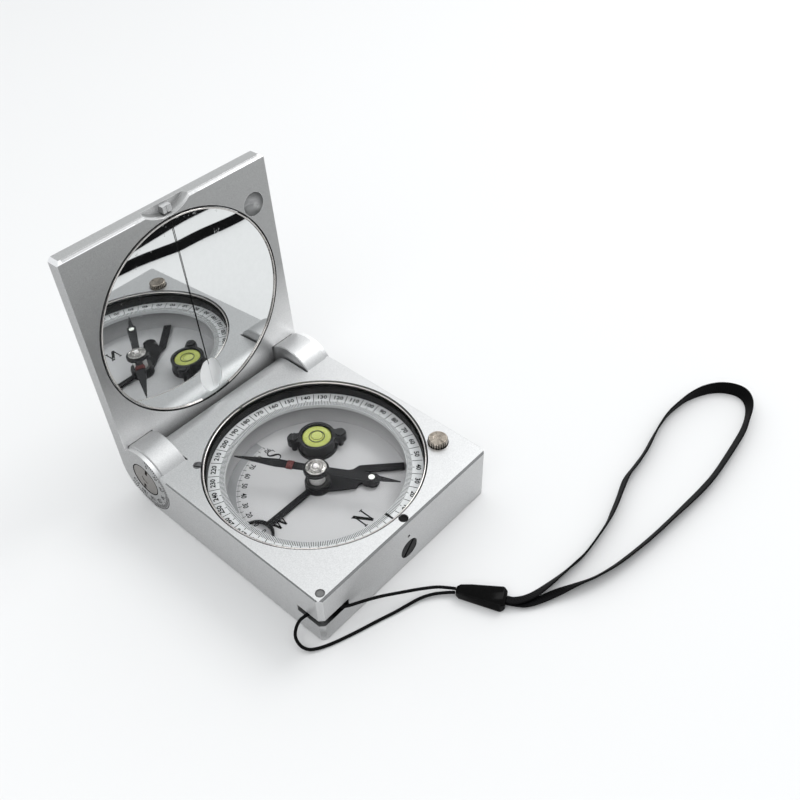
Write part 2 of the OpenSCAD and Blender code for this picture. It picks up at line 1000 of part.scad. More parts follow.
module loop_cord_left() {
    color("black")
        swept(route_left, cord_d / 2 / cos(22.5), cord_d / 2 / cos(22.5), 8);
}

// A slim moulded wedge: narrow where the cords enter, wide where the strap is clamped
module strap_clasp() {
    color("black")
        translate(clasp_nose)
            rotate([0, 0, clasp_angle])
                intersection() {
                    linear_extrude(3)
                        polygon([
                            [0, -1.3], [0.5, -1.6], [clasp_len - 1.2, -3.3],
                            [clasp_len, -2.4], [clasp_len, 2.4], [clasp_len - 1.2, 3.3],
                            [0.5, 1.6], [0, 1.3]]);
                    along_y(-4, 4)
                        polygon([
                            [0, 0.3], [0.4, 0], [clasp_len - 0.6, 0], [clasp_len, 0.5],
                            [clasp_len, 2.5], [clasp_len - 0.8, 3], [4, 3], [0.4, 2.7],
                            [0, 2.4]]);
                }
}

// The flat strap stands on its edge along its whole loop
module wrist_strap() {
    color("black")
        swept(route_strap, strap_t / 2 / cos(22.5), strap_w / 2 / cos(22.5), 8);
}

base_case();
dial_plate();
azimuth_ring();
declination_screw();
declination_pinion();
spacer_ring();
glass_gasket();
cover_glass();
retaining_ring();
index_plug();
ring_lock_screw();
level_body();
level_vial();
level_lens();
level_screws();
pivot_post();
clinometer_bush();
clinometer_arm();
lift_sleeve();
needle();
needle_cap();
needle_jewel();
balance_coil();
luminous_dot();
brake_knob();
knob_bush();
brake_lever();
lever_pin();
lanyard_pin();
hinge_pivots();
pivot_pins();
lid_plate();
mirror_glass();
mirror_ring();
sight_window();
fore_sight();
loop_cord_right();
loop_cord_left();
strap_clasp();
wrist_strap();
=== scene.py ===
import math

import bmesh
import bpy
from mathutils import Matrix, Vector


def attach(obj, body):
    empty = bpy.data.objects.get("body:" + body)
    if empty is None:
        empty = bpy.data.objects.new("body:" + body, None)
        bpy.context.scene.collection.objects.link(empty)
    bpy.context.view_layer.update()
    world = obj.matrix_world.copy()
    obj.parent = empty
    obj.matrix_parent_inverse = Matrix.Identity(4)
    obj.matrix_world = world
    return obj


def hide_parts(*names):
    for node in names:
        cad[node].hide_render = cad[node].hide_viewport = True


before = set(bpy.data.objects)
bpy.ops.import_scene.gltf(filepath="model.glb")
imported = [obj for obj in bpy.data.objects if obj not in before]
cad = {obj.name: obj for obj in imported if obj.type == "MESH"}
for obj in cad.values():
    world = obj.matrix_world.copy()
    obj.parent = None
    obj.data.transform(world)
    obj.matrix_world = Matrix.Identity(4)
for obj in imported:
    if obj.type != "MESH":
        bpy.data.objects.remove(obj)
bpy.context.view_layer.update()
MM = 0.001


# The studio
# A bench of pale paper, a camera at the photograph's place, a pale room that is brighter high
# behind the compass, and two soft lights.
CAMERA_PLACE = (-0.11649, -0.13973, 0.21603)
CAMERA_AZIMUTH, CAMERA_ELEVATION, CAMERA_ROLL = -47.635, 44.316, -1.494
CAMERA_LENS = 42.17
ROOM_BRIGHT_WAY = (0.53, 0.48, 0.70)
LIGHT_AIM = Vector((0, 0, 0.01))
NUMBER_RESULTS = ("LENGTH", "DISTANCE", "DOT_PRODUCT")


def select_only(*pieces):
    bpy.ops.object.select_all(action="DESELECT")
    for piece in pieces:
        piece.select_set(True)
    if pieces:
        bpy.context.view_layer.objects.active = pieces[0]


def add_node(tree, kind, inputs=None, **settings):
    """Adds a shader node. An input is given a value, or another node's socket to read."""
    made = tree.nodes.new(kind)
    for name, value in settings.items():
        setattr(made, name, value)
    for name, value in (inputs or {}).items():
        if isinstance(value, bpy.types.NodeSocket):
            tree.links.new(value, made.inputs[name])
        else:
            made.inputs[name].default_value = value
    return made


def math_node(tree, operation, a, b=0.0):
    return add_node(tree, "ShaderNodeMath", {0: a, 1: b}, operation=operation).outputs[0]


def vector_node(tree, operation, a, b=(0.0, 0.0, 0.0)):
    made = add_node(tree, "ShaderNodeVectorMath", {0: a, 1: b}, operation=operation)
    return made.outputs["Value" if operation in NUMBER_RESULTS else "Vector"]


def over(tree, value, limit):
    return math_node(tree, "GREATER_THAN", value, limit)


def under(tree, value, limit):
    return math_node(tree, "LESS_THAN", value, limit)


def all_of(tree, whole, *masks):
    """A mask where all of these masks are 1."""
    for mask in masks:
        whole = math_node(tree, "MULTIPLY", whole, mask)
    return whole


def any_of(tree, whole, *masks):
    """A mask where at least one of these masks is 1."""
    for mask in masks:
        whole = math_node(tree, "MAXIMUM", whole, mask)
    return whole


def coordinates(tree, kind="Object"):
    return add_node(tree, "ShaderNodeTexCoord").outputs[kind]


def axes(tree, vector):
    return add_node(tree, "ShaderNodeSeparateXYZ", {"Vector": vector}).outputs


def ramp(tree, value, low, high, start=0.0, end=1.0, **settings):
    """Runs from start, where the value is low, to end, where it is high."""
    return add_node(
        tree, "ShaderNodeMapRange",
        {"Value": value, "From Min": low, "From Max": high, "To Min": start, "To Max": end},
        **settings,
    ).outputs["Result"]


def spread(tree, tone, start, end):
    """Maps a tone that runs from 0 to 1 onto start to end."""
    return ramp(tree, tone, 0.0, 1.0, start, end)


def bump(tree, height, strength, distance):
    return add_node(
        tree, "ShaderNodeBump", {"Height": height, "Strength": strength, "Distance": distance}
    ).outputs["Normal"]


def rgba(colour):
    """A colour of three numbers, or a grey of one, with full alpha."""
    return (*((colour,) * 3 if isinstance(colour, float) else colour), 1.0)


def blend(tree, share, low, high):
    """A colour between two, by a socket that runs from 0 to 1."""
    mix = add_node(tree, "ShaderNodeMix", {"Factor": share}, data_type="RGBA")
    for socket, value in ((mix.inputs[6], low), (mix.inputs[7], high)):
        if isinstance(value, bpy.types.NodeSocket):
            tree.links.new(value, socket)
        else:
            socket.default_value = rgba(value)
    return mix.outputs[2]


def new_finish(name, colour, roughness, metallic=0.0, **constants):
    """A new material with these plain values, as (material, tree, shader)."""
    material = bpy.data.materials.new(name)
    material.use_nodes = True
    tree = material.node_tree
    shader = tree.nodes["Principled BSDF"]
    constants.update(Base_Color=rgba(colour), Roughness=roughness, Metallic=metallic)
    for socket, value in constants.items():
        shader.inputs[socket.replace("_", " ")].default_value = value
    return material, tree, shader


def feed(tree, shader, **sources):
    """Links sockets to the shader's inputs, which are named with _ for a space."""
    for socket, source in sources.items():
        tree.links.new(source, shader.inputs[socket.replace("_", " ")])


def new_group(name, inputs, outputs):
    """A node group's tree and its inputs. Its sockets Centre and Normal are vectors."""
    group = bpy.data.node_groups.new(name, "ShaderNodeTree")
    for way, sockets in (("INPUT", inputs), ("OUTPUT", outputs)):
        for socket in sockets:
            kind = "Vector" if socket in ("Centre", "Normal") else "Float"
            group.interface.new_socket(socket, in_out=way, socket_type="NodeSocket" + kind)
    return group, add_node(group, "NodeGroupInput").outputs


def use_group(tree, group, **values):
    node = add_node(tree, "ShaderNodeGroup", node_tree=group)
    for name, value in values.items():
        node.inputs[name.replace("_", " ")].default_value = value
    return node.outputs


select_only()
bpy.ops.object.camera_add()
camera = bpy.context.object
camera.name = "camera"
camera.matrix_world = (
    Matrix.Translation(CAMERA_PLACE)
    @ Matrix.Rotation(math.radians(CAMERA_AZIMUTH), 4, "Z")
    @ Matrix.Rotation(math.radians(90 - CAMERA_ELEVATION), 4, "X")
    @ Matrix.Rotation(math.radians(CAMERA_ROLL), 4, "Z")
)
camera.data.lens = CAMERA_LENS
camera.data.sensor_width = 36
camera.data.clip_start = 0.005
camera.data.clip_end = 10
bpy.context.scene.camera = camera
bpy.context.scene.view_settings.view_transform = "Standard"

paper = new_finish("pale_paper", 0.80, 0.9, Specular_IOR_Level=0.1)[0]
select_only()
bpy.ops.mesh.primitive_plane_add(size=6)
bench = bpy.context.object
bench.name = "bench"
bench.data.materials.append(paper)

room = bpy.data.worlds.new("pale_room")
room.use_nodes = True
room_tree = room.node_tree
toward = vector_node(
    room_tree, "DOT_PRODUCT", coordinates(room_tree, "Generated"), ROOM_BRIGHT_WAY
)
glow = ramp(room_tree, toward, -0.3, 0.9, interpolation_type="SMOOTHSTEP")
room_tree.links.new(
    blend(room_tree, glow, (0.38, 0.39, 0.40), (1.22, 1.24, 1.25)),
    room_tree.nodes["Background"].inputs["Color"],
)
bpy.context.scene.world = room


def soft_light(name, place, size, power):
    select_only()
    bpy.ops.object.light_add(type="AREA", location=place)
    lamp = bpy.context.object
    lamp.name = name
    lamp.data.size = size
    lamp.data.energy = power
    lamp.rotation_euler = (LIGHT_AIM - Vector(place)).to_track_quat("-Z", "Y").to_euler()


soft_light("softbox_side", (0.55, -0.05, 0.60), 0.35, 1.6)
soft_light("softbox_front", (-0.45, -0.20, 0.55), 0.45, 1.0)


# The thin cord
# One black braided cord, 0.9 mm thick, goes round the pin in the corner slot. Both of its
# strands run on the bench to the clasp, so each strand is a cord of its own here.
CORD = 0.9 * MM
# Crossings in a millimetre, and strands round the cord
CORD_PITCH, CORD_STRANDS = 1.1, 4
CORD_STEP = 0.16 * MM
TUBE_SIDES = 20
THREAD_HEIGHT = 0.03 * MM
BLACK = 0.001
# X, Y and Z of the middle of each strand, in millimetres
ROUTE_RIGHT = [
    (-30.6, -31.2, 7.8), (-29.4, -31.7, 7.8), (-27.6, -33.7, 7.8), (-25.3, -35.9, 7.5),
    (-20.2, -38.0, 6.4), (-16.0, -39.7, 5.2), (-12.2, -41.6, 4.1), (-8.3, -43.8, 3.2),
    (-5.4, -45.6, 2.6), (-2.6, -47.7, 2.1), (-0.7, -49.9, 1.8), (0.6, -51.7, 1.6),
]
ROUTE_LEFT = [
    (-30.6, -31.2, 7.8), (-31.8, -30.7, 7.8), (-35.3, -29.6, 7.3), (-36.8, -29.2, 5.8),
    (-38.0, -29.4, 4.2), (-38.8, -30.1, 3.0), (-39.2, -31.4, 2.1), (-39.1, -33.0, 1.5),
    (-38.2, -34.5, 1.0), (-36.5, -35.7, 0.7), (-34.5, -36.7, 0.5), (-31.8, -37.9, 0.5),
    (-28.3, -39.2, 0.5), (-24.8, -40.4, 0.5), (-21.6, -41.4, 0.5), (-18.3, -42.5, 0.5),
    (-14.9, -43.7, 0.6), (-11.4, -44.8, 0.8), (-7.8, -46.1, 1.1), (-4.8, -47.8, 1.2),
    (-2.3, -50.0, 1.3), (-0.4, -52.2, 1.5),
]


def smooth_line(points, step):
    """Points about one step apart on a smooth curve through rows of numbers."""
    rows = [Vector(p) for p in points]
    line = []
    for i, (a, b) in enumerate(zip(rows, rows[1:])):
        before, after = rows[max(i - 1, 0)], rows[min(i + 2, len(rows) - 1)]
        pieces = max(1, round((b - a).length / step))
        for k in range(pieces):
            t = k / pieces
            line.append(
                0.5 * ((2 * a) + (b - before) * t
                + (2 * before - 5 * a + 4 * b - after) * t * t
                + (3 * a - before - 3 * b + after) * t ** 3)
            )
    line.append(rows[-1])
    return line


def line_length(line):
    return sum((b - a).length for a, b in zip(line, line[1:]))


def mesh_piece(name, shape, finish):
    """A new object with the mesh of this bmesh, which is freed."""
    mesh = bpy.data.meshes.new(name)
    shape.normal_update()
    shape.to_mesh(mesh)
    shape.free()
    mesh.materials.append(finish)
    piece = bpy.data.objects.new(name, mesh)
    bpy.context.scene.collection.objects.link(piece)
    return piece


def laid_tube(name, line, section, finish, tilts=None):
    """A closed tube along a line. section(distance, turn) gives (across, up) in metres. The UV
    map holds the distance along, in millimetres, and the way round, from 0 to 1."""
    rings, distance = [], 0.0
    shape = bmesh.new()
    layer = shape.loops.layers.uv.new("lay")
    for i, place in enumerate(line):
        before, after = line[max(i - 1, 0)], line[min(i + 1, len(line) - 1)]
        along = (after - before).normalized()
        if i:
            distance += (place - line[i - 1]).length
        side = Vector((0, 0, 1)).cross(along).normalized()
        rise = along.cross(side)
        if tilts:
            turned = Matrix.Rotation(tilts[i], 3, along)
            side, rise = turned @ side, turned @ rise
        ring = []
        for k in range(TUBE_SIDES):
            across, up = section(distance, 2 * math.pi * k / TUBE_SIDES)
            ring.append(shape.verts.new(place + side * across + rise * up))
        rings.append((distance / MM, ring))
    for (u0, low), (u1, high) in zip(rings, rings[1:]):
        for k in range(TUBE_SIDES):
            after = (k + 1) % TUBE_SIDES
            face = shape.faces.new((low[k], low[after], high[after], high[k]))
            face.smooth = True
            for loop, (u, v) in zip(face.loops, ((u0, k), (u0, k + 1), (u1, k + 1), (u1, k))):
                loop[layer].uv = (u, v / TUBE_SIDES)
    shape.faces.new(list(reversed(rings[0][1])))
    shape.faces.new(rings[-1][1])
    return mesh_piece(name, shape, finish)


def woven_group():
    """Threads that cross each other on a piece's own UV map. Tone runs from 0 in the gaps to 1
    on the threads, and Normal bends the light over them."""
    group, given = new_group("crossing_threads", ("Along", "Around", "Depth"), ("Tone", "Normal"))
    uv = axes(group, add_node(group, "ShaderNodeUVMap", uv_map="lay").outputs["UV"])
    along = math_node(group, "MULTIPLY", uv["X"], given["Along"])
    around = math_node(group, "MULTIPLY", uv["Y"], given["Around"])
    waves = []
    for operation in ("ADD", "SUBTRACT"):
        slope = math_node(group, operation, along, around)
        waves.append(math_node(group, "SINE", math_node(group, "MULTIPLY", slope, 2 * math.pi)))
    height = math_node(group, "MAXIMUM", *waves)
    add_node(group, "NodeGroupOutput", {
        "Tone": spread(group, height, 0.5, 1.0),
        "Normal": bump(group, height, given["Depth"], THREAD_HEIGHT),
    })
    return group


crossing_threads = woven_group()


def thread_finish(name, along, around, light, roughness):
    material, tree, shader = new_finish(
        name, BLACK, roughness, Sheen_Weight=0.004, Sheen_Roughness=0.5, Specular_IOR_Level=0.06
    )
    threads = use_group(tree, crossing_threads, Along=along, Around=around, Depth=0.6)
    feed(
        tree, shader,
        Base_Color=blend(tree, threads["Tone"], BLACK, light),
        Roughness=spread(tree, threads["Tone"], roughness + 0.2, roughness),
        Normal=threads["Normal"],
    )
    return material


cord_braid = thread_finish("cord_braid", CORD_PITCH, CORD_STRANDS, (0.005, 0.005, 0.0055), 0.55)


def braided(distance, turn):
    """A round cord whose strands stand a little proud where they cross on top."""
    lay = 2 * math.pi * CORD_PITCH * distance / MM
    swell = max(math.sin(lay + CORD_STRANDS * turn), math.sin(lay - CORD_STRANDS * turn))
    r = CORD / 2 * (0.97 + 0.035 * swell)
    return r * math.cos(turn), r * math.sin(turn)


def thin_strand(name, solid, route):
    line = smooth_line([Vector(p) * MM for p in route], CORD_STEP)
    strand = laid_tube(name, line, braided, cord_braid)
    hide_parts(solid)
    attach(strand, "case")
    return strand, line


strand_right, line_right = thin_strand("cord_strand_right", "loop_cord_right", ROUTE_RIGHT)
strand_left, line_left = thin_strand("cord_strand_left", "loop_cord_left", ROUTE_LEFT)


# The wrist strap
# A flat woven band, 4.2 mm wide and 0.7 mm thick, stands on its edge in one open loop. It
# leans and twists as it lies, and both of its ends lie flat in the clasp, one on the other.
BAND_WIDTH = 4.2 * MM
BAND_THICKNESS = 0.7 * MM
BAND_PITCH, BAND_THREADS = 1.3, 6
# Its width at its ends, as a share, how far that goes, and over how far it grows to the full
GATHERED, GATHER_FROM, GATHER_OVER = 0.6, 3, 20
# X, Y and Z of the band's middle, and how far it leans from upright, in degrees
ROUTE_STRAP = [
    (6.6, -64.2, 1.95, -80), (7.56, -66.03, 1.95, -80), (10.3, -67.9, 1.8, -70),
    (14.3, -69.2, 1.5, -55), (20, -70.4, 1.85, -35), (27, -71.4, 2.05, -20),
    (33.5, -71.9, 2.1, -15), (45.5, -70.8, 2.1, -15), (51.5, -69.5, 2.1, -20),
    (57.5, -67.8, 2.05, -20), (64.5, -65.8, 2, -25), (70.5, -65.3, 2, -25),
    (77.4, -64.6, 2.05, -20), (84.4, -63.2, 2.1, -15), (90.3, -62.2, 2.1, -10),
    (96.1, -61.7, 2.1, -10), (101.6, -62, 2.1, -10), (107.2, -62.9, 2.15, -5),
    (112.7, -64.9, 2.15, 5), (117.2, -68, 2.1, 10), (119.6, -71.8, 2.1, 15),
    (119.9, -75.4, 2.1, 20), (117.8, -78.4, 2.1, 20), (114, -80.6, 2.1, 20),
    (108.3, -82.3, 2.1, 20), (101, -83.7, 2, 30), (85.4, -85.1, 2, 30),
    (76.5, -85.2, 1.9, 35), (67.5, -84.6, 1.85, 35), (59.4, -83.9, 1.9, 30),
    (51.3, -83.1, 1.9, 30), (43.3, -82, 1.9, 30), (35.3, -80.5, 1.9, 30),
    (28.4, -78.4, 1.9, 30), (22.6, -75.6, 1.75, 40), (17.6, -73, 1.2, 60),
    (13, -70.9, 1.05, 70), (9.4, -68.6, 1, 80), (7.56, -66.03, 1, 80), (6.6, -64.2, 1, 80),
]

band_weave = thread_finish("band_weave", BAND_PITCH, BAND_THREADS, (0.0045, 0.0045, 0.005), 0.6)
strap_rows = smooth_line(ROUTE_STRAP, 0.22)
line_strap = [Vector(row[:3]) * MM for row in strap_rows]
STRAP_LENGTH = line_length(line_strap)


def woven_band(distance, turn):
    """A flat band with round edges, thicker along both of them, with a rib for each weft. It
    is gathered narrower where it goes into the clasp."""
    c, s = math.cos(turn), math.sin(turn)
    from_end = min(distance, STRAP_LENGTH - distance) / MM
    free = min(max((from_end - GATHER_FROM) / GATHER_OVER, 0), 1)
    gathered = GATHERED + (1 - GATHERED) * free * free * (3 - 2 * free)
    up = gathered * BAND_WIDTH / 2 * math.copysign(abs(s) ** 0.45, s)
    edge = 0.82 + 0.18 * abs(s) ** 3
    rib = 1 + 0.05 * math.sin(2 * math.pi * BAND_PITCH * distance / MM)
    across = BAND_THICKNESS / 2 * edge * rib * math.copysign(abs(c) ** 0.6, c)
    return across, up


strap_tilts = [-math.radians(row[3]) for row in strap_rows]
strap = laid_tube("wrist_band", line_strap, woven_band, band_weave, strap_tilts)
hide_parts("wrist_strap")
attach(strap, "case")


# The clasp
# A wedge moulded in glossy black plastic. The thin cord goes in at its rounded nose, and
# both ends of the band are clamped in its wide tail.
GRAIN_HEIGHT = 0.02 * MM


def whole_mesh(piece, *operators):
    """Runs mesh operators, each given with its settings, on all of a piece in edit mode."""
    select_only(piece)
    bpy.ops.object.mode_set(mode="EDIT")
    for operator, settings in operators:
        bpy.ops.mesh.select_all(action="SELECT")
        operator(**settings)
    bpy.ops.object.mode_set(mode="OBJECT")


def own_copy(name, solid):
    """A CAD solid's copy as a new piece, with the points that meet merged."""
    piece = cad[solid].copy()
    piece.data = cad[solid].data.copy()
    piece.name = piece.data.name = name
    piece.parent = None
    for key in list(piece.keys()):
        del piece[key]
    bpy.context.scene.collection.objects.link(piece)
    piece.hide_render = piece.hide_viewport = False
    piece.data.materials.clear()
    whole_mesh(
        piece,
        (bpy.ops.mesh.remove_doubles, {"threshold": 0.002 * MM}),
        (bpy.ops.mesh.dissolve_limited, {"angle_limit": math.radians(0.6)}),
    )
    return piece


def soften_edges(piece, width):
    """Rounds a piece's sharp edges, with its flat faces shaded flat right up to the bevel."""
    select_only(piece)
    bpy.ops.object.shade_smooth()
    bevel = piece.modifiers.new("edges", "BEVEL")
    bevel.width = width
    bevel.segments = 3
    bevel.limit_method = "ANGLE"
    bevel.angle_limit = math.radians(35)
    bevel.use_clamp_overlap = False
    bevel.harden_normals = True
    bpy.ops.object.modifier_apply(modifier="edges")


def grain_group():
    """Fine mottled grain on Object coordinates. Tone runs from 0 to 1, and Normal bends the
    light over it. Scale is the number of grains in a metre."""
    group, given = new_group("fine_grain", ("Scale", "Depth"), ("Tone", "Normal"))
    noise = add_node(group, "ShaderNodeTexNoise", {
        "Vector": coordinates(group), "Scale": given["Scale"], "Detail": 4.0, "Roughness": 0.6,
    })
    tone = ramp(group, noise.outputs["Fac"], 0.3, 0.7)
    add_node(group, "NodeGroupOutput", {
        "Tone": tone, "Normal": bump(group, tone, given["Depth"], GRAIN_HEIGHT),
    })
    return group


def edge_group():
    """A mask of the sharp edges of a solid, 1 on an edge and 0 on its faces. Finishes lay a
    painted highlight over it, and some a painted shade.
    """
    group, given = new_group("bright_edges", ("Width",), ("Mask",))
    rounded = add_node(group, "ShaderNodeBevel", {"Radius": given["Width"]}, samples=4)
    flat = add_node(group, "ShaderNodeNewGeometry").outputs["Normal"]
    likeness = vector_node(group, "DOT_PRODUCT", rounded.outputs["Normal"], flat)
    add_node(group, "NodeGroupOutput", {"Mask": ramp(group, likeness, 0.995, 0.9)})
    return group


fine_grain = grain_group()
bright_edges = edge_group()


def grained(name, dark, light, roughness, scale, depth, edge=None, edge_width=0.08,
            metallic=0.0, **constants):
    """A finish whose colour and gloss vary with a fine grain. Its edges may get another colour
    over
    a width in millimetres: a painted highlight where that colour is lighter, painted shade where
    it is darker."""
    material, tree, shader = new_finish(name, light, roughness, metallic, **constants)
    grain = use_group(tree, fine_grain, Scale=scale, Depth=depth)
    colour = blend(tree, grain["Tone"], dark, light)
    gloss = spread(tree, grain["Tone"], roughness + 0.06, max(roughness - 0.04, 0.02))
    if edge:
        mask = use_group(tree, bright_edges, Width=edge_width * MM)["Mask"]
        colour = blend(tree, mask, colour, edge)
    feed(tree, shader, Base_Color=colour, Roughness=gloss, Normal=grain["Normal"])
    return material


def laid_over(finish, mask, colour):
    """Lays another colour over a finish where the mask is 1."""
    tree = finish.node_tree
    shader = tree.nodes["Principled BSDF"]
    own = shader.inputs["Base Color"].links[0].from_socket
    feed(tree, shader, Base_Color=blend(tree, mask, own, colour))


# The black plastic's lighter edges are a painted highlight
black_gloss = grained(
    "moulded_gloss_black", 0.0005, 0.002, 0.14, 900, 0.08, edge=(0.08, 0.08, 0.083),
    edge_width=0.3, Specular_IOR_Level=0.05,
)
clasp = own_copy("cord_clasp", "strap_clasp")
NOSE, TAIL = Vector((0.2, -52.0, 0)) * MM, Vector((6.6, -64.2, 0)) * MM
clasp_way = (TAIL - NOSE).normalized()
clasp_side = Vector((-clasp_way.y, clasp_way.x, 0))
# The nose's tip is drawn in by a share of its width, and its shoulders behind it move back
TIP_END, TIP_SHARE, SHOULDER_END, SHOULDER_SHIFT = 0.25 * MM, 0.3, 0.7 * MM, 0.5 * MM
for vert in clasp.data.vertices:
    reach = (vert.co - NOSE).dot(clasp_way)
    if reach < TIP_END:
        vert.co -= TIP_SHARE * (vert.co - NOSE).dot(clasp_side) * clasp_side
    elif reach < SHOULDER_END:
        vert.co += SHOULDER_SHIFT * clasp_way
soften_edges(clasp, 0.34 * MM)
# A painted highlight along the clasp's back upper edge, where its normal turns back and up
gloss_tree = black_gloss.node_tree
back_edge = 0.7 * clasp_side + Vector((0, 0, 0.7))
painted_shine = vector_node(gloss_tree, "DOT_PRODUCT", coordinates(gloss_tree, "Normal"), back_edge)
laid_over(black_gloss, ramp(gloss_tree, painted_shine, 0.80, 0.93), (0.13, 0.13, 0.133))
clasp.data.materials.append(black_gloss)
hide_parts("strap_clasp")
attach(clasp, "case")


# The case
# A square block of aluminium, milled out for the dial, blasted and anodised silver. Its top
# and sides are finely matt. Its upright faces are painted a little darker as painted shade, its
# sharp edges carry thin lines of painted highlight, and its milled corners a dark painted
# reflection.
PLATE_GREY = (0.455, 0.453, 0.458)
# Heights of the bowl's sprayed part, and the round cutter that made the lanyard's slot
BOWL_HEIGHTS = (1 * MM, 12.9 * MM)
SLOT_CUTTER, SLOT_RADIUS = Vector((-38.8, -41.8, 0)) * MM, 16.02 * MM
SLOT_HEIGHTS = (6.49 * MM, 9.01 * MM)


def dress(finish, *names):
    """Gives CAD solids this finish."""
    for name in names:
        mesh = cad[name].data
        mesh.materials.clear()
        mesh.materials.append(finish)


def level_reach(tree, place, centre=(0.0, 0.0, 0.0)):
    """How far a place is from the vertical line through a centre at height 0."""
    level = vector_node(tree, "MULTIPLY", place, (1.0, 1.0, 0.0))
    return vector_node(tree, "DISTANCE", level, centre)


def between(tree, value, low, high):
    return all_of(tree, over(tree, value, low), under(tree, value, high))


def chamfer_group():
    """Corner, a mask of the milled faces along a block's upper edges, and Bowl, a mask of all
    that lies inside a radius and between the bowl's heights."""
    group, given = new_group("milled_corners", ("Bowl Radius",), ("Corner", "Bowl"))
    place = coordinates(group)
    p = axes(group, place)
    n = axes(group, vector_node(group, "ABSOLUTE", coordinates(group, "Normal")))
    flattest = any_of(group, n["X"], n["Y"], n["Z"])
    wide = math_node(group, "ABSOLUTE", p["X"])
    # The inner edge of the lid's free end, but not its notch
    lid_rim = all_of(
        group, over(group, p["Z"], 79 * MM), under(group, p["Y"], 47.15 * MM),
        over(group, wide, 10.5 * MM),
    )
    # The sides and the front are milled, and all round the hinge is not
    rim = any_of(group, over(group, wide, 32.3 * MM), under(group, p["Y"], -33.8 * MM), lid_rim)
    hinge = all_of(group, over(group, p["Y"], 25 * MM), under(group, p["Z"], 24 * MM))
    add_node(group, "NodeGroupOutput", {
        "Corner": all_of(
            group, under(group, flattest, 0.95), over(group, n["Z"], 0.3), rim,
            math_node(group, "SUBTRACT", 1.0, hinge),
        ),
        "Bowl": all_of(
            group, under(group, level_reach(group, place), given["Bowl Radius"]),
            between(group, p["Z"], *BOWL_HEIGHTS),
        ),
    })
    return group


milled_corners = chamfer_group()


def blasted(name, dark, light, sides, painted_face_shade=None, bowl=0.0, painted_corner_reflection=(0.97, 0.97, 0.98)):
    """Blasted and anodised aluminium with sparkling grain. Its milled corners get one colour of
    painted reflection and its sharp edges a painted highlight, and its upright faces are painted
    a little darker as painted shade. On the lid, the inner face and free end are painted darker
    as painted shade and lighter near the hinge as a painted reflection of the case, except the
    back wall of its notch, which has a plain mid tone. The bowl inside a radius is spray-painted
    like the plate, and painted darker towards its top as painted shade."""
    material, tree, shader = new_finish(name, light, 0.42, 1.0)
    grain = use_group(tree, fine_grain, Scale=3600, Depth=0.16)
    corners = use_group(tree, milled_corners, Bowl_Radius=bowl)
    edges = use_group(tree, bright_edges, Width=0.13 * MM)["Mask"]
    place, way = axes(tree, coordinates(tree)), axes(tree, coordinates(tree, "Normal"))

    def toned(low, high):
        return blend(tree, grain["Tone"], low, high)

    # Upright faces are painted darker by the share sides, as painted shade
    upright = toned([sides * c for c in dark], [sides * c for c in light])
    colour = blend(tree, ramp(tree, way["Z"], 0.1, 0.8), upright, toned(dark, light))
    # The lid's inner face and free end get painted shade, and near the hinge a lighter painted
    # reflection of the case's top
    if painted_face_shade:
        inward = ramp(tree, way["Y"], -0.9, -0.98)
        crest = ramp(tree, way["Z"], 0.7, 0.9)
        upper = all_of(tree, over(tree, way["Z"], 0.5), over(tree, place["Y"], 47.6 * MM))
        front = all_of(
            tree, any_of(tree, inward, crest, upper), ramp(tree, place["Z"], 12 * MM, 20 * MM)
        )
        higher = ramp(tree, place["Z"], 20 * MM, 46 * MM)
        own = blend(tree, higher, toned(0.78, 0.92), toned(*painted_face_shade))
        colour = blend(tree, front, colour, own)
        # The back wall of the thumb notch
        notch = all_of(
            tree, inward, under(tree, math_node(tree, "ABSOLUTE", place["X"]), 11.5 * MM),
            over(tree, place["Z"], 68 * MM), over(tree, place["Y"], 48.4 * MM),
        )
        colour = blend(tree, notch, colour, toned(0.56, 0.70))
    # A painted highlight on sharp edges, then the milled corners' painted reflection
    colour = blend(tree, edges, colour, (0.93, 0.93, 0.94))
    colour = blend(tree, corners["Corner"], colour, painted_corner_reflection)
    if bowl:
        # The bowl's spray grey is painted darker towards its top, as painted shade
        height = ramp(tree, place["Z"], 5.5 * MM, 12 * MM)
        spray_with_painted_shade = blend(tree, height, PLATE_GREY, [0.45 * c for c in PLATE_GREY])
        colour = blend(tree, corners["Bowl"], colour, spray_with_painted_shade)
    gloss = add_node(tree, "ShaderNodeMix", {
        "Factor": any_of(tree, corners["Corner"], edges),
        "A": spread(tree, grain["Tone"], 0.48, 0.38), "B": 0.22,
    }).outputs[0]
    metal = spread(tree, corners["Bowl"], 1.0, 0.0)
    feed(
        tree, shader, Base_Color=colour, Roughness=gloss, Metallic=metal, Normal=grain["Normal"]
    )
    return material


# The case's milled corners get a dark painted reflection, and its upright faces painted shade
case_silver = blasted(
    "satin_case_silver", (0.56, 0.563, 0.565), (0.70, 0.703, 0.705), 0.92, bowl=27.6 * MM,
    painted_corner_reflection=(0.36, 0.362, 0.364),
)
dress(case_silver, "base_case")

# The lanyard's slot is painted darker as painted shade, more so toward its right end
slot_tree = case_silver.node_tree
slot_place = coordinates(slot_tree)
slot_axes = axes(slot_tree, slot_place)
slot_shade_mask = all_of(
    slot_tree,
    under(slot_tree, level_reach(slot_tree, slot_place, SLOT_CUTTER), SLOT_RADIUS),
    between(slot_tree, slot_axes["Z"], *SLOT_HEIGHTS),
    ramp(slot_tree, slot_axes["X"], -35.5 * MM, -29 * MM, 0.3, 0.95),
)
laid_over(case_silver, slot_shade_mask, 0.01)


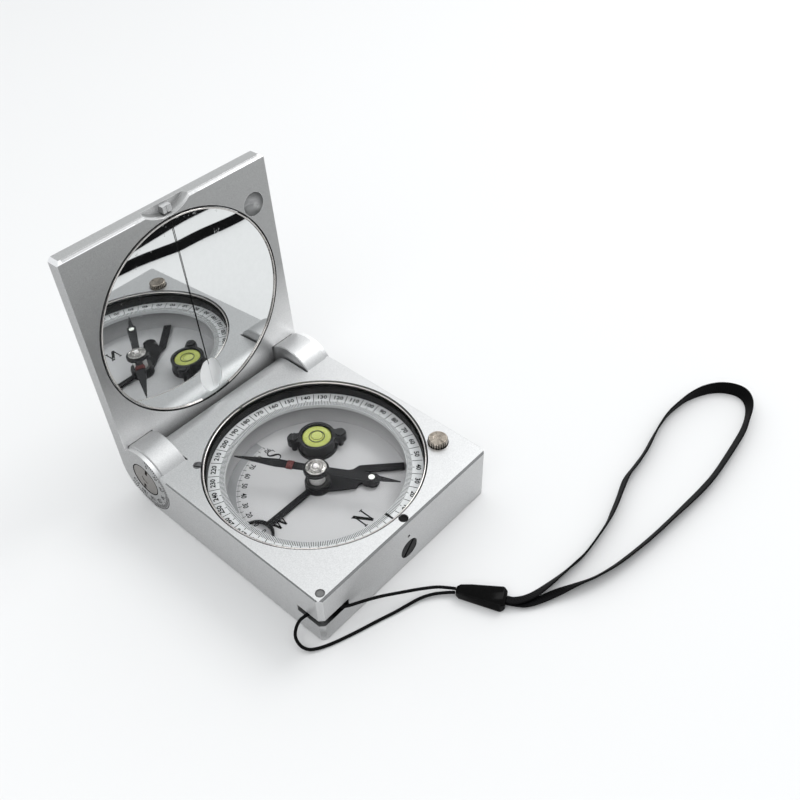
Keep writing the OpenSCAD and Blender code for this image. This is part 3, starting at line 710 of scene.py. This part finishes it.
# The dial plate
# A thin disc under the glass, sprayed a cool pale grey. Its letters and slope scale are
# printed in black, and the printed grey band marks the slopes from 25 degrees on.
dress(grained("plate_pale_grey", (0.43, 0.428, 0.433), PLATE_GREY, 0.5, 7000, 0.08), "dial_plate")
dial_ink = grained("dial_ink", 0.003, 0.007, 0.5, 9000, 0.1, Specular_IOR_Level=0.1)
band_ink = grained("band_grey_ink", (0.22, 0.225, 0.23), (0.27, 0.275, 0.28), 0.5, 9000, 0.1)
PLATE_TOP = 5.2 * MM
PRINT = 0.03 * MM
UP = Vector((0, 0, 1))
# Height of a capital in the built-in letters, as a share of their size
CAPITAL = 0.7


def standing(place, up, out=UP):
    """The matrix of a flat mark: its Y points up, its Z stands out of the surface."""
    turned = Matrix((up.cross(out), up, out)).transposed().to_4x4()
    return Matrix.Translation(place) @ turned


def polar(radius, degrees, height=0.0):
    a = math.radians(degrees)
    return Vector((radius * math.cos(a), radius * math.sin(a), height))


def named(name):
    """The object that an operator has just made, with this name."""
    piece = bpy.context.object
    piece.name = piece.data.name = name
    return piece


def joined(name, pieces):
    """Joins pieces, which have one finish between them, into one."""
    select_only(*pieces)
    bpy.ops.object.join()
    return named(name)


def thickened(piece, depth):
    """Gives a flat mark its depth, downward from its face."""
    select_only(piece)
    ink = piece.modifiers.new("ink", "SOLIDIFY")
    ink.thickness, ink.offset = depth, -1
    bpy.ops.object.modifier_apply(modifier="ink")
    return piece


def figures(tall, narrow, places, bold):
    """Printed figures in the built-in letters: one mesh for each (text, matrix)."""
    made = []
    size = tall / CAPITAL
    for text, place in places:
        select_only()
        bpy.ops.object.text_add()
        letter = bpy.context.object.data
        letter.body = text
        letter.size = 1.0
        letter.align_x = letter.align_y = "CENTER"
        letter.resolution_u = 2
        letter.offset = bold
        letter.extrude = 0.5
        bpy.ops.object.convert(target="MESH")
        letter = bpy.context.object
        letter.data.transform(place @ Matrix.Diagonal((size * narrow, size, PRINT, 1)))
        letter.data.materials.append(dial_ink)
        made.append(letter)
    return made


def repeated(name, model, places, finish):
    """One mesh that holds the model's shape at each of these matrices."""
    shape = bmesh.new()
    for place in places:
        start = len(shape.verts)
        shape.from_mesh(model.data)
        shape.verts.ensure_lookup_table()
        bmesh.ops.transform(shape, matrix=place, verts=shape.verts[start:])
    return mesh_piece(name, shape, finish)


def printed(name, bars, places, tall, narrow, bold, *more):
    """One printed piece of lines, figures and any more marks."""
    lines = repeated("lines", line_model, bars, dial_ink)
    return joined(name, [lines, *figures(tall, narrow, places, bold), *more])


def radial_bar(degrees, inner, outer, width, height):
    """The place of a line that points outward on the dial, its radii and width in mm."""
    place = standing(polar(inner * MM, degrees, height), polar(1, degrees))
    return place @ Matrix.Diagonal((width * MM, (outer - inner) * MM, PRINT, 1))


# A printed line one unit wide, long and high, from the origin along +Y, a little narrower on
# top as ink is
select_only()
bpy.ops.mesh.primitive_cube_add(size=1)
line_model = named("printed_line")
for vert in line_model.data.vertices:
    if vert.co.z > 0:
        vert.co.x *= 0.8
        vert.co.y *= 0.98
line_model.data.transform(Matrix.Translation((0, 0.5, 0.5)))


def pen_letter(name, strokes, centre, tall):
    """A serif letter. A stroke is (points, widths), in letter heights, from its lower left."""
    shape = bmesh.new()
    for points, widths in strokes:
        line = [Vector((x, y, 0)) for x, y in points]
        rows = []
        for i, p in enumerate(line):
            along = (line[min(i + 1, len(line) - 1)] - line[max(i - 1, 0)]).normalized()
            side = Vector((-along.y, along.x, 0)) * widths[i] / 2
            rows.append((shape.verts.new(p + side), shape.verts.new(p - side)))
        for (a, b), (c, d) in zip(rows, rows[1:]):
            shape.faces.new((a, b, d, c))
    letter = thickened(mesh_piece(name, shape, dial_ink), PRINT / tall)
    letter.data.transform(
        Matrix.Translation((*centre, PLATE_TOP + PRINT)) @ Matrix.Scale(tall, 4)
        @ Matrix.Translation((0, -0.5, 0))
    )
    return letter


def stem(x, y, to_x, to_y, width, to_width=None):
    return [(x, y), (to_x, to_y)], [width, to_width or width]


def serif(x, y, half=0.11):
    return stem(x - half, y, x + half, y, 0.065)


LETTER_N = [
    stem(-0.28, 0.02, -0.28, 0.98, 0.09), stem(-0.34, 1.0, 0.28, 0.0, 0.21),
    stem(0.28, 0.02, 0.28, 0.98, 0.09),
    serif(-0.33, 0.985, 0.13), serif(-0.28, 0.02), serif(0.28, 0.985),
]
LETTER_W = [
    stem(-0.46, 0.98, -0.22, 0.0, 0.17, 0.16), stem(-0.22, 0.0, 0.0, 0.8, 0.085),
    stem(-0.08, 0.98, 0.2, 0.0, 0.17, 0.16), stem(0.2, 0.0, 0.44, 0.98, 0.085),
    serif(-0.46, 0.985), serif(-0.08, 0.985), serif(0.44, 0.985),
]
LETTER_S = [
    (
        [(0.26, 0.76), (0.2, 0.9), (0.04, 0.98), (-0.14, 0.95), (-0.24, 0.82), (-0.22, 0.66),
         (-0.08, 0.56), (0.1, 0.47), (0.24, 0.36), (0.27, 0.2), (0.18, 0.07), (0.0, 0.02),
         (-0.18, 0.06), (-0.28, 0.2), (-0.29, 0.28)],
        [0.03, 0.04, 0.05, 0.07, 0.1, 0.13, 0.16, 0.16, 0.13, 0.1, 0.07, 0.05, 0.04, 0.03, 0.03],
    ),
    stem(0.265, 0.68, 0.265, 0.97, 0.035), stem(-0.295, 0.03, -0.295, 0.32, 0.035),
]

letters = [
    pen_letter("letter_n", LETTER_N, (0, -18.2 * MM), 5.1 * MM),
    pen_letter("letter_s", LETTER_S, (0, 19 * MM), 4.8 * MM),
    pen_letter("letter_w", LETTER_W, (-16.7 * MM, -0.7 * MM), 4.8 * MM),
]
slope_places, slope_bars = [], []
for slope in range(91):
    inner, outer, width = (23.4, 23.8, 0.07) if slope % 5 else (22.9, 24.0, 0.2)
    slope_bars.append(radial_bar(180 - slope, inner, outer, width, PLATE_TOP))
    if slope % 10 == 0:
        spot = polar(21.9 * MM, 180 - slope, PLATE_TOP + PRINT / 2)
        slope_places.append((str(slope), standing(spot, -polar(1, 180 - slope))))
plate_print = printed("plate_print", slope_bars, slope_places, 1.6 * MM, 0.85, 0.02, *letters)
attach(plate_print, "case")


def flat_band(name, inner, outer, start, end, height, depth, finish):
    """A printed band between two radii, in steps of about 2.5 degrees."""
    shape = bmesh.new()
    steps = round(abs(end - start) / 2.5)
    rows = []
    for k in range(steps + 1):
        turn = start + (end - start) * k / steps
        rows.append([shape.verts.new(polar(r, turn, height + depth)) for r in (inner, outer)])
    for (a, b), (c, d) in zip(rows, rows[1:]):
        shape.faces.new((c, d, b, a))
    return thickened(mesh_piece(name, shape, finish), depth)


slope_band = flat_band(
    "slope_band", 24.1 * MM, 26.8 * MM, 155, 90, PLATE_TOP, 0.02 * MM, band_ink
)
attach(slope_band, "case")


# The azimuth ring
# A satin ring that turns round the plate. Its upper face is divided into 360 degrees, with
# the lines and figures engraved and filled with black, and the figures' tops point outward.
RING_TOP = 13.1 * MM
# Degrees by which the ring is set off from the case
SET_BY = 1.5
# The ring's lighter edges are a painted highlight
dress(grained(
    "ring_satin", (0.54, 0.55, 0.553), (0.61, 0.62, 0.623), 0.38, 6000, 0.08,
    edge=(0.72, 0.73, 0.735), edge_width=0.06, metallic=0.1,
), "azimuth_ring")
ring_places, ring_bars = [], []
for value in range(360):
    turn = value - 90 + SET_BY
    outer = {0: 28.4, 5: 31.0}.get(value % 10, 27.8)
    ring_bars.append(radial_bar(turn, 26.23, outer, 0.21, RING_TOP))
    if value and value % 10 == 0:
        spot = polar(29.55 * MM, turn, RING_TOP + PRINT / 2)
        ring_places.append((str(value), standing(spot, polar(1, turn))))
ring_bars.append(radial_bar(SET_BY - 90, 26.3, 29.2, 0.65, RING_TOP))
ring_print = printed("ring_print", ring_bars, ring_places, 1.4 * MM, 1.08, 0.03)
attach(ring_print, "ring")


# The declination drive and the ring's lock
# A slotted screw of black oxide steel turns a brass pinion under the ring. A black plug
# covers the index at the front, and a small steel screw locks the ring at the back left.
# Lighter edge colours here are painted highlights; the lock screw's darker edges and the lanyard
# pin's wide dark rim are painted shade
dress(grained(
    "black_oxide_steel", 0.003, (0.008, 0.008, 0.009), 0.35, 5000, 0.2, edge=(0.08, 0.08, 0.084),
    edge_width=0.05, Specular_IOR_Level=0.12,
), "declination_screw", "index_plug")
dress(grained(
    "turned_brass", (0.60, 0.44, 0.20), (0.78, 0.58, 0.28), 0.3, 4000, 0.15,
    edge=(0.9, 0.72, 0.42), metallic=1.0,
), "declination_pinion", "knob_bush")
dress(grained(
    "bright_steel", (0.52, 0.53, 0.54), (0.68, 0.69, 0.70), 0.25, 5000, 0.12,
    edge=(0.92, 0.93, 0.94), edge_width=0.05, metallic=1.0,
), "lever_pin", "pivot_post", "brake_lever")
dress(grained(
    "dark_steel", (0.14, 0.14, 0.145), (0.24, 0.24, 0.245), 0.3, 5000, 0.15, edge=0.05,
    edge_width=0.1, metallic=1.0,
), "ring_lock_screw")
dress(grained(
    "pin_steel", 0.13, 0.23, 0.3, 2600, 0.3, edge=0.02, edge_width=0.9, metallic=1.0,
), "lanyard_pin")


# The glass and what holds it
# A black spacer stands on the case round the ring, a black rubber gasket lies on it, and the
# flat cover glass is kept down by a sprung ring of bright chromed wire with a small gap.
# The spacer's lighter edges are a painted highlight
spacer_black = grained(
    "spacer_black", 0.003, 0.008, 0.5, 4000, 0.2, edge=0.03, Specular_IOR_Level=0.2
)
dress(grained(
    "gasket_rubber", 0.004, 0.01, 0.7, 6000, 0.4, Specular_IOR_Level=0.2,
), "glass_gasket")
chrome = grained(
    "spring_chrome", (0.50, 0.47, 0.45), (0.74, 0.72, 0.70), 0.1, 3000, 0.1, metallic=1.0
)
dress(spacer_black, "spacer_ring")


def spun(piece, steps, angle, centre=(0, 0, 0), axis=(0, 0, 1), sharp=None):
    """Spins an outline round an axis into a closed solid. Edges over the sharp angle, in
    degrees, stay sharp, and without one all its faces are flat."""
    whole_mesh(
        piece,
        (bpy.ops.mesh.spin, {"steps": steps, "angle": angle, "center": centre, "axis": axis}),
        (bpy.ops.mesh.remove_doubles, {"threshold": 0.0001 * MM}),
        (bpy.ops.mesh.normals_make_consistent, {"inside": False}),
    )
    if sharp:
        bpy.ops.object.shade_smooth_by_angle(angle=math.radians(sharp))
    return piece


WIRE_SIDES, RING_STEPS = 14, 180


def wire_ring(name, radius, thickness, start, sweep, finish):
    """Round wire bent into a ring about the Z axis, with closed ends where it has a gap."""
    select_only()
    bpy.ops.mesh.primitive_circle_add(
        vertices=WIRE_SIDES, radius=thickness / 2, fill_type="NGON"
    )
    ring = named(name)
    ring.data.transform(
        Matrix.Rotation(math.radians(start), 4, "Z") @ Matrix.Translation((radius, 0, 0))
        @ Matrix.Rotation(math.radians(90), 4, "X")
    )
    ring.data.materials.append(finish)
    return spun(ring, RING_STEPS, -math.radians(sweep), sharp=40)


spring_ring = wire_ring("spring_ring", 31.66 * MM, 0.5 * MM, 91, 358, chrome)
spring_ring.data.transform(Matrix.Translation((0, 0, 17.45 * MM)))
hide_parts("retaining_ring")
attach(spring_ring, "case")


def clear_finish(name, tint, smear=0.03, frost=0.0, ior=1.1, edge=None):
    """Glass with faint smears, polished or frosted. A shadow ray goes straight through it."""
    material, tree, shader = new_finish(name, tint, 0.0, Transmission_Weight=1.0, IOR=ior)
    grain = use_group(tree, fine_grain, Scale=160, Depth=0)
    feed(tree, shader, Roughness=spread(tree, grain["Tone"], frost + smear, frost))
    # Its edges may be painted darker, as painted shade
    if edge:
        mask = use_group(tree, bright_edges, Width=0.25 * MM)["Mask"]
        feed(tree, shader, Base_Color=blend(tree, mask, tint, edge))
    passing = add_node(tree, "ShaderNodeBsdfTransparent", {"Color": rgba(tint)})
    shadow_ray = add_node(tree, "ShaderNodeLightPath").outputs["Is Shadow Ray"]
    mix = add_node(tree, "ShaderNodeMixShader", {
        0: shadow_ray, 1: shader.outputs["BSDF"], 2: passing.outputs["BSDF"],
    })
    tree.links.new(mix.outputs["Shader"], tree.nodes["Material Output"].inputs["Surface"])
    return material


dress(clear_finish("cover_glass_clear", (0.985, 0.988, 0.988)), "cover_glass")
dress(clear_finish("level_lens_clear", (0.98, 0.98, 0.95), 0.0), "level_lens")


# The round level
# A black moulded body held by two black screws. Its vial of yellow-green liquid shows a
# bubble under the lens, inside a thin dark circle.
LEVEL, BUBBLE = (11.4, 11.5), (11.75, 11.8)
VIAL_TOP = 9.4
# The level's lighter edges are a painted highlight
dress(grained(
    "level_black_plastic", (0.005, 0.005, 0.006), (0.014, 0.014, 0.015), 0.4, 3500, 0.25,
    edge=(0.06, 0.06, 0.063), Specular_IOR_Level=0.35,
), "level_body", "level_screws")
fluid = grained("level_fluid", (0.35, 0.39, 0.08), (0.46, 0.505, 0.145), 0.12, 350, 0)
bubble_finish = grained(
    "bubble_pale", (0.42, 0.465, 0.14), (0.50, 0.54, 0.20), 0.06, 500, 0,
    Specular_IOR_Level=0.2,
)
circle_finish = grained(
    "level_circle", (0.01, 0.014, 0.004), (0.03, 0.04, 0.012), 0.4, 5000, 0.1
)
dress(fluid, "level_vial")


def turned_piece(name, finish, outline, centre=(0, 0), foot=0.0, steps=48):
    """A closed solid of revolution about a vertical line, in millimetres: (radius, height over
    the foot) from below, starting and ending on the line or closing on itself."""
    shape = bmesh.new()
    x, y = centre
    points = [shape.verts.new(Vector((x + r, y, foot + z)) * MM) for r, z in outline]
    for a, b in zip(points, points[1:]):
        shape.edges.new((a, b))
    if outline[0][0] > 0:
        shape.edges.new((points[-1], points[0]))
    piece = mesh_piece(name, shape, finish)
    return spun(piece, steps, 2 * math.pi, (x * MM, y * MM, 0), sharp=30)


for name, finish, centre, outline in (
    ("fluid_surface", fluid, LEVEL, [(0, -0.1), (4.2, -0.1), (4.2, 0.03), (0, 0.03)]),
    ("level_bubble", bubble_finish, BUBBLE,
     [(0, -0.1), (1.5, -0.1), (1.72, 0), (1.55, 0.08), (1, 0.15), (0, 0.19)]),
    ("level_circle", circle_finish, LEVEL,
     [(2.2, -0.05), (2.48, -0.05), (2.46, 0.22), (2.22, 0.22)]),
    # A dark ring round the bubble is painted shade at its edge
    ("bubble_edge_shade", circle_finish, BUBBLE,
     [(1.66, -0.05), (1.86, -0.05), (1.8, 0.1), (1.7, 0.1)]),
):
    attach(turned_piece(name, finish, outline, centre, VIAL_TOP), "case")


# The clinometer, the sleeve and the needle
# The clinometer's arm is black painted sheet on a dark bush. The lifting sleeve is bright
# nickel. The needle is black lacquered steel with a nickel cap and a jewel, and fine red
# copper wire is wound round its south arm to balance it.
def turned_group():
    """Fine rings round a vertical line, as a lathe leaves them, with lighter and darker spokes
    across them. Tone runs from 0 to 1 and Normal bends the light."""
    group, given = new_group("turned_rings", ("Centre", "Rings", "Depth"), ("Tone", "Normal"))
    local = vector_node(group, "SUBTRACT", coordinates(group), given["Centre"])
    level = vector_node(group, "MULTIPLY", local, (1.0, 1.0, 0.0))
    spokes = add_node(group, "ShaderNodeTexNoise", {
        "Vector": vector_node(group, "NORMALIZE", level), "Scale": 2.2, "Detail": 2.0,
    }).outputs["Fac"]
    scaled = math_node(group, "MULTIPLY", vector_node(group, "LENGTH", level), given["Rings"])
    wave = add_node(
        group, "ShaderNodeTexNoise", {"W": scaled, "Scale": 1.0, "Detail": 3.0},
        noise_dimensions="1D",
    ).outputs["Fac"]
    tone = ramp(group, math_node(group, "ADD", wave, spokes), 0.75, 1.25)
    add_node(group, "NodeGroupOutput", {
        "Tone": tone, "Normal": bump(group, tone, given["Depth"], 0.03 * MM),
    })
    return group


turned_rings = turned_group()


def turned_finish(name, centre, dark, light, roughness, rings, depth, edge):
    material, tree, shader = new_finish(name, light, roughness, 1.0)
    marks = use_group(tree, turned_rings, Centre=centre, Rings=rings, Depth=depth)
    # Its edges get a painted highlight in the edge colour
    mask = use_group(tree, bright_edges, Width=0.05 * MM)["Mask"]
    colour = blend(tree, marks["Tone"], dark, light)
    feed(
        tree, shader, Base_Color=blend(tree, mask, colour, edge),
        Roughness=spread(tree, marks["Tone"], roughness + 0.08, roughness - 0.04),
        Normal=marks["Normal"],
    )
    return material


# The lighter edge colours of the arm, bush, sleeve, needle and cap are painted highlights
dress(grained(
    "arm_black_paint", (0.004, 0.004, 0.005), (0.010, 0.010, 0.011), 0.5, 6000, 0.3,
    edge=(0.04, 0.04, 0.042), edge_width=0.05, Specular_IOR_Level=0.15,
), "clinometer_arm")
dress(grained(
    "bush_black_nickel", 0.02, 0.04, 0.35, 4000, 0.15, edge=0.2, metallic=0.6,
), "clinometer_bush")
dress(grained(
    "sleeve_nickel", (0.74, 0.73, 0.71), (0.88, 0.87, 0.85), 0.3, 3500, 0.1,
    edge=(0.95, 0.94, 0.92), edge_width=0.05, metallic=0.55,
), "lift_sleeve")
dress(grained(
    "needle_black_lacquer", (0.004, 0.004, 0.005), (0.012, 0.012, 0.013), 0.28, 4000, 0.1,
    edge=(0.08, 0.08, 0.085), edge_width=0.04, Specular_IOR_Level=0.2,
), "needle")
cap_turned = turned_finish(
    "cap_turned_nickel", (0, 0, 0), (0.16, 0.15, 0.145), (0.66, 0.64, 0.61), 0.2, 2600, 0.3,
    (0.92, 0.91, 0.89),
)
dress(grained(
    "pivot_jewel", (0.70, 0.66, 0.66), (0.88, 0.85, 0.85), 0.05, 1500, 0, Coat_Weight=1.0,
    Coat_Roughness=0.02,
), "needle_jewel")
dress(grained(
    "luminous_paint", (0.78, 0.80, 0.74), (0.88, 0.90, 0.84), 0.6, 9000, 0.4,
), "luminous_dot")
wire_red = grained(
    "enamelled_red_wire", (0.045, 0.006, 0.006), (0.13, 0.02, 0.018), 0.35, 3000, 0.15,
    metallic=0.3,
)
cap = turned_piece("turned_cap", cap_turned, [
    (0.85, 13.3), (3.04, 13.3), (3.1, 13.38), (3.1, 13.72), (3.0, 13.86), (2.76, 13.9),
    (2.62, 13.8), (2.48, 13.84), (2.36, 14.06), (2.2, 14.14), (1.96, 14.15), (1.86, 14.32),
    (1.72, 14.42), (1.4, 14.44), (1.15, 14.3), (0.95, 14.34), (0.85, 14.42),
], steps=64)
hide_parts("needle_cap")
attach(cap, "compass_needle")

NEEDLE_ANGLE, NEEDLE_HEIGHT = -61, 13.0
COIL_NEAR, COIL_FAR = -7.0, -8.7
COIL_TURNS, COIL_LEAN = 8, 1.5
# Half the width and half the height of a turn, and how thick its wire is drawn
TURN_WIDTH, TURN_HEIGHT, TURN_WIRE = 1.53, 0.38, 1.3
select_only()
bpy.ops.mesh.primitive_torus_add(
    major_radius=1.0, minor_radius=0.085, major_segments=32, minor_segments=10
)
turn_model = named("wire_turn")
for vert in turn_model.data.vertices:
    radius = math.hypot(vert.co.x, vert.co.y)
    x, y = vert.co.x / radius, vert.co.y / radius
    wire_out = (radius - 1) * TURN_WIRE
    vert.co = (
        TURN_WIDTH * math.copysign(abs(x) ** 0.5, x) + wire_out * x,
        TURN_HEIGHT * math.copysign(abs(y) ** 0.7, y) + wire_out * y, vert.co.z * TURN_WIRE,
    )
whole_mesh(turn_model, (bpy.ops.mesh.normals_make_consistent, {"inside": False}))
along_needle = polar(1, NEEDLE_ANGLE)
wire_places = []
for k in range(COIL_TURNS):
    reach = COIL_NEAR + (COIL_FAR - COIL_NEAR) * k / (COIL_TURNS - 1)
    wire_places.append(
        standing((along_needle * reach + UP * NEEDLE_HEIGHT) * MM, UP, along_needle)
        @ Matrix.Rotation(math.radians(COIL_LEAN if k % 2 else -COIL_LEAN), 4, "Y")
        @ Matrix.Scale(MM, 4)
    )
wire = repeated("wound_wire", turn_model, wire_places, wire_red)
for polygon in wire.data.polygons:
    polygon.use_smooth = True
bpy.data.objects.remove(turn_model)
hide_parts("balance_coil")
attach(wire, "compass_needle")


# The brake knob
# A small knurled knob of nickel plated brass, turned flat on top with fine rings. Its grooves
# below the chamfer are painted dark as painted shade, and its edges lighter as a painted
# highlight.
KNOB_CENTRE = (27.5 * MM, -22.8 * MM, 0)
KNOB_RADIUS, KNOB_CHAMFER = 2.9 * MM, 19.4 * MM
knob_nickel = turned_finish(
    "knob_turned_nickel", KNOB_CENTRE, (0.07, 0.058, 0.045), (0.56, 0.50, 0.43), 0.28, 5500,
    0.6, (0.86, 0.80, 0.74),
)
knob_tree = knob_nickel.node_tree
knob_place = coordinates(knob_tree)
knob_reach = level_reach(knob_tree, knob_place, KNOB_CENTRE)
# The knurl's grooves below the chamfer are painted dark, as painted shade
groove_shade = all_of(
    knob_tree, ramp(knob_tree, knob_reach, KNOB_RADIUS, KNOB_RADIUS - 0.12 * MM),
    under(knob_tree, axes(knob_tree, knob_place)["Z"], KNOB_CHAMFER),
)
laid_over(knob_nickel, groove_shade, (0.02, 0.018, 0.016))
dress(knob_nickel, "brake_knob")


# The hinge
# Two wide nickel plated pivots are let in flush with the case's sides, each with two slots
# for a pin wrench, and a steel pin goes through the middle of each.
HINGE = Vector((0, 36, 11.35)) * MM
# The pivots' lighter edges are a painted highlight
dress(grained(
    "pivot_brown_nickel", (0.20, 0.19, 0.18), (0.30, 0.285, 0.27), 0.34, 5000, 0.15,
    edge=(0.62, 0.60, 0.57), edge_width=0.05, metallic=1.0,
), "hinge_pivots", "pivot_pins")
gap_black = grained(
    "gap_shadow_black", 0.002, 0.005, 0.8, 5000, 0.1, Specular_IOR_Level=0.05
)
# How far from the middle a ring of painted gap shade starts and ends
GAP_FOOT, GAP_FACE = 33.9, 34.02


def hinge_way(degrees):
    """The way from the hinge's axis at an angle from straight up towards the front."""
    a = math.radians(degrees)
    return Vector((0, -math.sin(a), math.cos(a)))


def side_ring(side, inner, outer, start, sweep):
    """A thin flat dark ring or arc round the hinge on one side, painted shade where the gap round
    a part shows.
    """
    shape = bmesh.new()
    face = shape.faces.new([
        shape.verts.new((Vector((side * x, 0, 0)) + r * hinge_way(start)) * MM)
        for r, x in ((inner, GAP_FOOT), (outer, GAP_FOOT), (outer, GAP_FACE), (inner, GAP_FACE))
    ])
    if sweep == 360:
        shape.faces.remove(face)
    ring = mesh_piece("side_ring", shape, gap_black)
    spun(ring, round(sweep / 4), -math.radians(sweep), axis=(1, 0, 0))
    ring.data.transform(Matrix.Translation(HINGE))
    return ring


# Black rings of painted shade lie in the gaps round the pivot heads and the cheeks
head_gap_shade = joined("head_gap_shade", [side_ring(side, 5.25, 5.55, 0, 360) for side in (-1, 1)])
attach(head_gap_shade, "lid")
cheek_gap_shade = joined("cheek_gap_shade", [side_ring(side, 10.3, 10.52, 92, 84) for side in (-1, 1)])
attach(cheek_gap_shade, "case")


# The lid
# A milled aluminium plate, blasted and anodised like the case, with thin cheeks that carry
# it on the pivots. A machined foresight stands at its free edge.
# The lid's upright faces are painted darker, its inner face and free end get painted shade, and
# its milled corners a bright painted reflection
dress(blasted(
    "satin_lid_silver", (0.56, 0.563, 0.565), (0.76, 0.763, 0.765), 0.68,
    painted_face_shade=((0.34, 0.343, 0.342), (0.43, 0.433, 0.432)),
), "lid_plate")
# The foresight's darker edges are painted shade
dress(grained(
    "foresight_grey", (0.46, 0.463, 0.465), (0.60, 0.603, 0.605), 0.34, 4000, 0.15, edge=0.10,
    edge_width=0.14, metallic=1.0,
), "fore_sight")

# A point of the lid is given in millimetres: x, how far it is from the hinge's axis along
# the lid, and how far its surface is from that axis.
LID_ANGLE = -93.5
LID = (
    Matrix.Translation(HINGE) @ Matrix.Rotation(math.radians(LID_ANGLE), 4, "X")
    @ Matrix.Diagonal((MM, -MM, MM, 1))
)
LID_FREE = (LID.to_3x3() @ Vector((0, 1, 0))).normalized()
LID_IN = (LID.to_3x3() @ Vector((0, 0, -1))).normalized()


# The mirror, its ring and the window
# A round flat mirror, with faint specks of dust, is let into the lid and kept by a bright
# spring ring. A fine black wire is stretched across it for sighting, and a line goes on
# across the frosted window below.
MIRROR_GLOSS, DUST_GLOSS = 0.015, 0.09
MIRROR_ALONG = 37
mirror_silver, mirror_tree, mirror_shader = new_finish(
    "mirror_silver", (0.79, 0.805, 0.805), MIRROR_GLOSS, 1.0
)
specks = use_group(mirror_tree, fine_grain, Scale=700, Depth=0)["Tone"]
feed(
    mirror_tree, mirror_shader,
    Base_Color=blend(mirror_tree, specks, (0.76, 0.775, 0.775), (0.79, 0.805, 0.805)),
    Roughness=ramp(mirror_tree, specks, 0.85, 1.0, MIRROR_GLOSS, DUST_GLOSS),
)
dress(mirror_silver, "mirror_glass")
dress(spacer_black, "mirror_ring")
mirror_wire = wire_ring("mirror_spring", 30.5 * MM, 0.46 * MM, 100, 340, chrome)
# A black ring at the mirror's rim stands in for the dark band there, as painted shade
mirror_edge_shade = wire_ring("mirror_edge_shade", 31.08 * MM, 0.4 * MM, 90, 359.5, spacer_black)
for bent, off in ((mirror_wire, 6.62), (mirror_edge_shade, 6.7)):
    bent.data.transform(
        LID @ Matrix.Translation((0, MIRROR_ALONG, off))
        @ Matrix.Diagonal((1 / MM, -1 / MM, 1 / MM, 1))
    )
    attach(bent, "lid")

WINDOW_FACE, PANE_FACE = 9.25, 6.95
dress(clear_finish("window_clear", (0.98, 0.985, 0.985)), "sight_window")
# The frosted pane's darker edges are painted shade
window_frost = clear_finish(
    "window_frosted", (0.97, 0.975, 0.975), 0.05, frost=0.6, ior=1.4, edge=0.30
)
pane = own_copy("window_pane", "sight_window")
pane.data.transform(Matrix.Translation(LID_IN * (WINDOW_FACE - PANE_FACE) * MM))
pane.data.materials.append(window_frost)
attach(pane, "lid")

WIRE_TOP, WIRE_FOOT = LID @ Vector((0, 67.9, 6.53)), LID @ Vector((0, 17.4, 6.78))
wire_up = (WIRE_TOP - WIRE_FOOT).normalized()
sight_line = repeated("sight_wire", line_model, [
    standing(WIRE_FOOT, wire_up, wire_up.cross(Vector((-1, 0, 0))))
    @ Matrix.Diagonal((0.2 * MM, (WIRE_TOP - WIRE_FOOT).length, 0.1 * MM, 1))
], dial_ink)
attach(sight_line, "lid")
window_ink = grained(
    "window_line_ink", (0.80, 0.81, 0.81), (0.90, 0.91, 0.91), 0.4, 9000, 0.1
)
window_line = repeated("window_line", line_model, [
    standing(LID @ Vector((0, 8.6, PANE_FACE)), LID_FREE, LID_IN)
    @ Matrix.Diagonal((0.3 * MM, 9 * MM, PRINT, 1))
], window_ink)
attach(window_line, "lid")


# The slope scale of the left cheek
# Lines and figures are engraved round the rim of the lid's left cheek and filled with black.
# They pass the case's edge as the lid swings, so they show how steep it stands.
CHEEK_FACE = Vector((-34 * MM, 0, 0))
CHEEK_OUT = Vector((-1, 0, 0))


def on_cheek(radius, degrees):
    """The matrix of a mark whose top points outward, its radius in millimetres."""
    way = hinge_way(degrees)
    return standing(HINGE + CHEEK_FACE + way * radius * MM, way, CHEEK_OUT)


cheek_bars = []
for turn in range(16, 236, 4):
    inner = 9.0 if turn % 20 else 8.5
    size = Matrix.Diagonal((0.24 * MM, (10.1 - inner) * MM, 0.025 * MM, 1))
    cheek_bars.append(on_cheek(inner, turn) @ size)
cheek_places = [(str(turn - 20), on_cheek(7.5, turn)) for turn in range(20, 231, 30)]
cheek_scale = printed("cheek_scale", cheek_bars, cheek_places, 1.5 * MM, 0.85, 0.01)
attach(cheek_scale, "lid")
bpy.data.objects.remove(line_model)
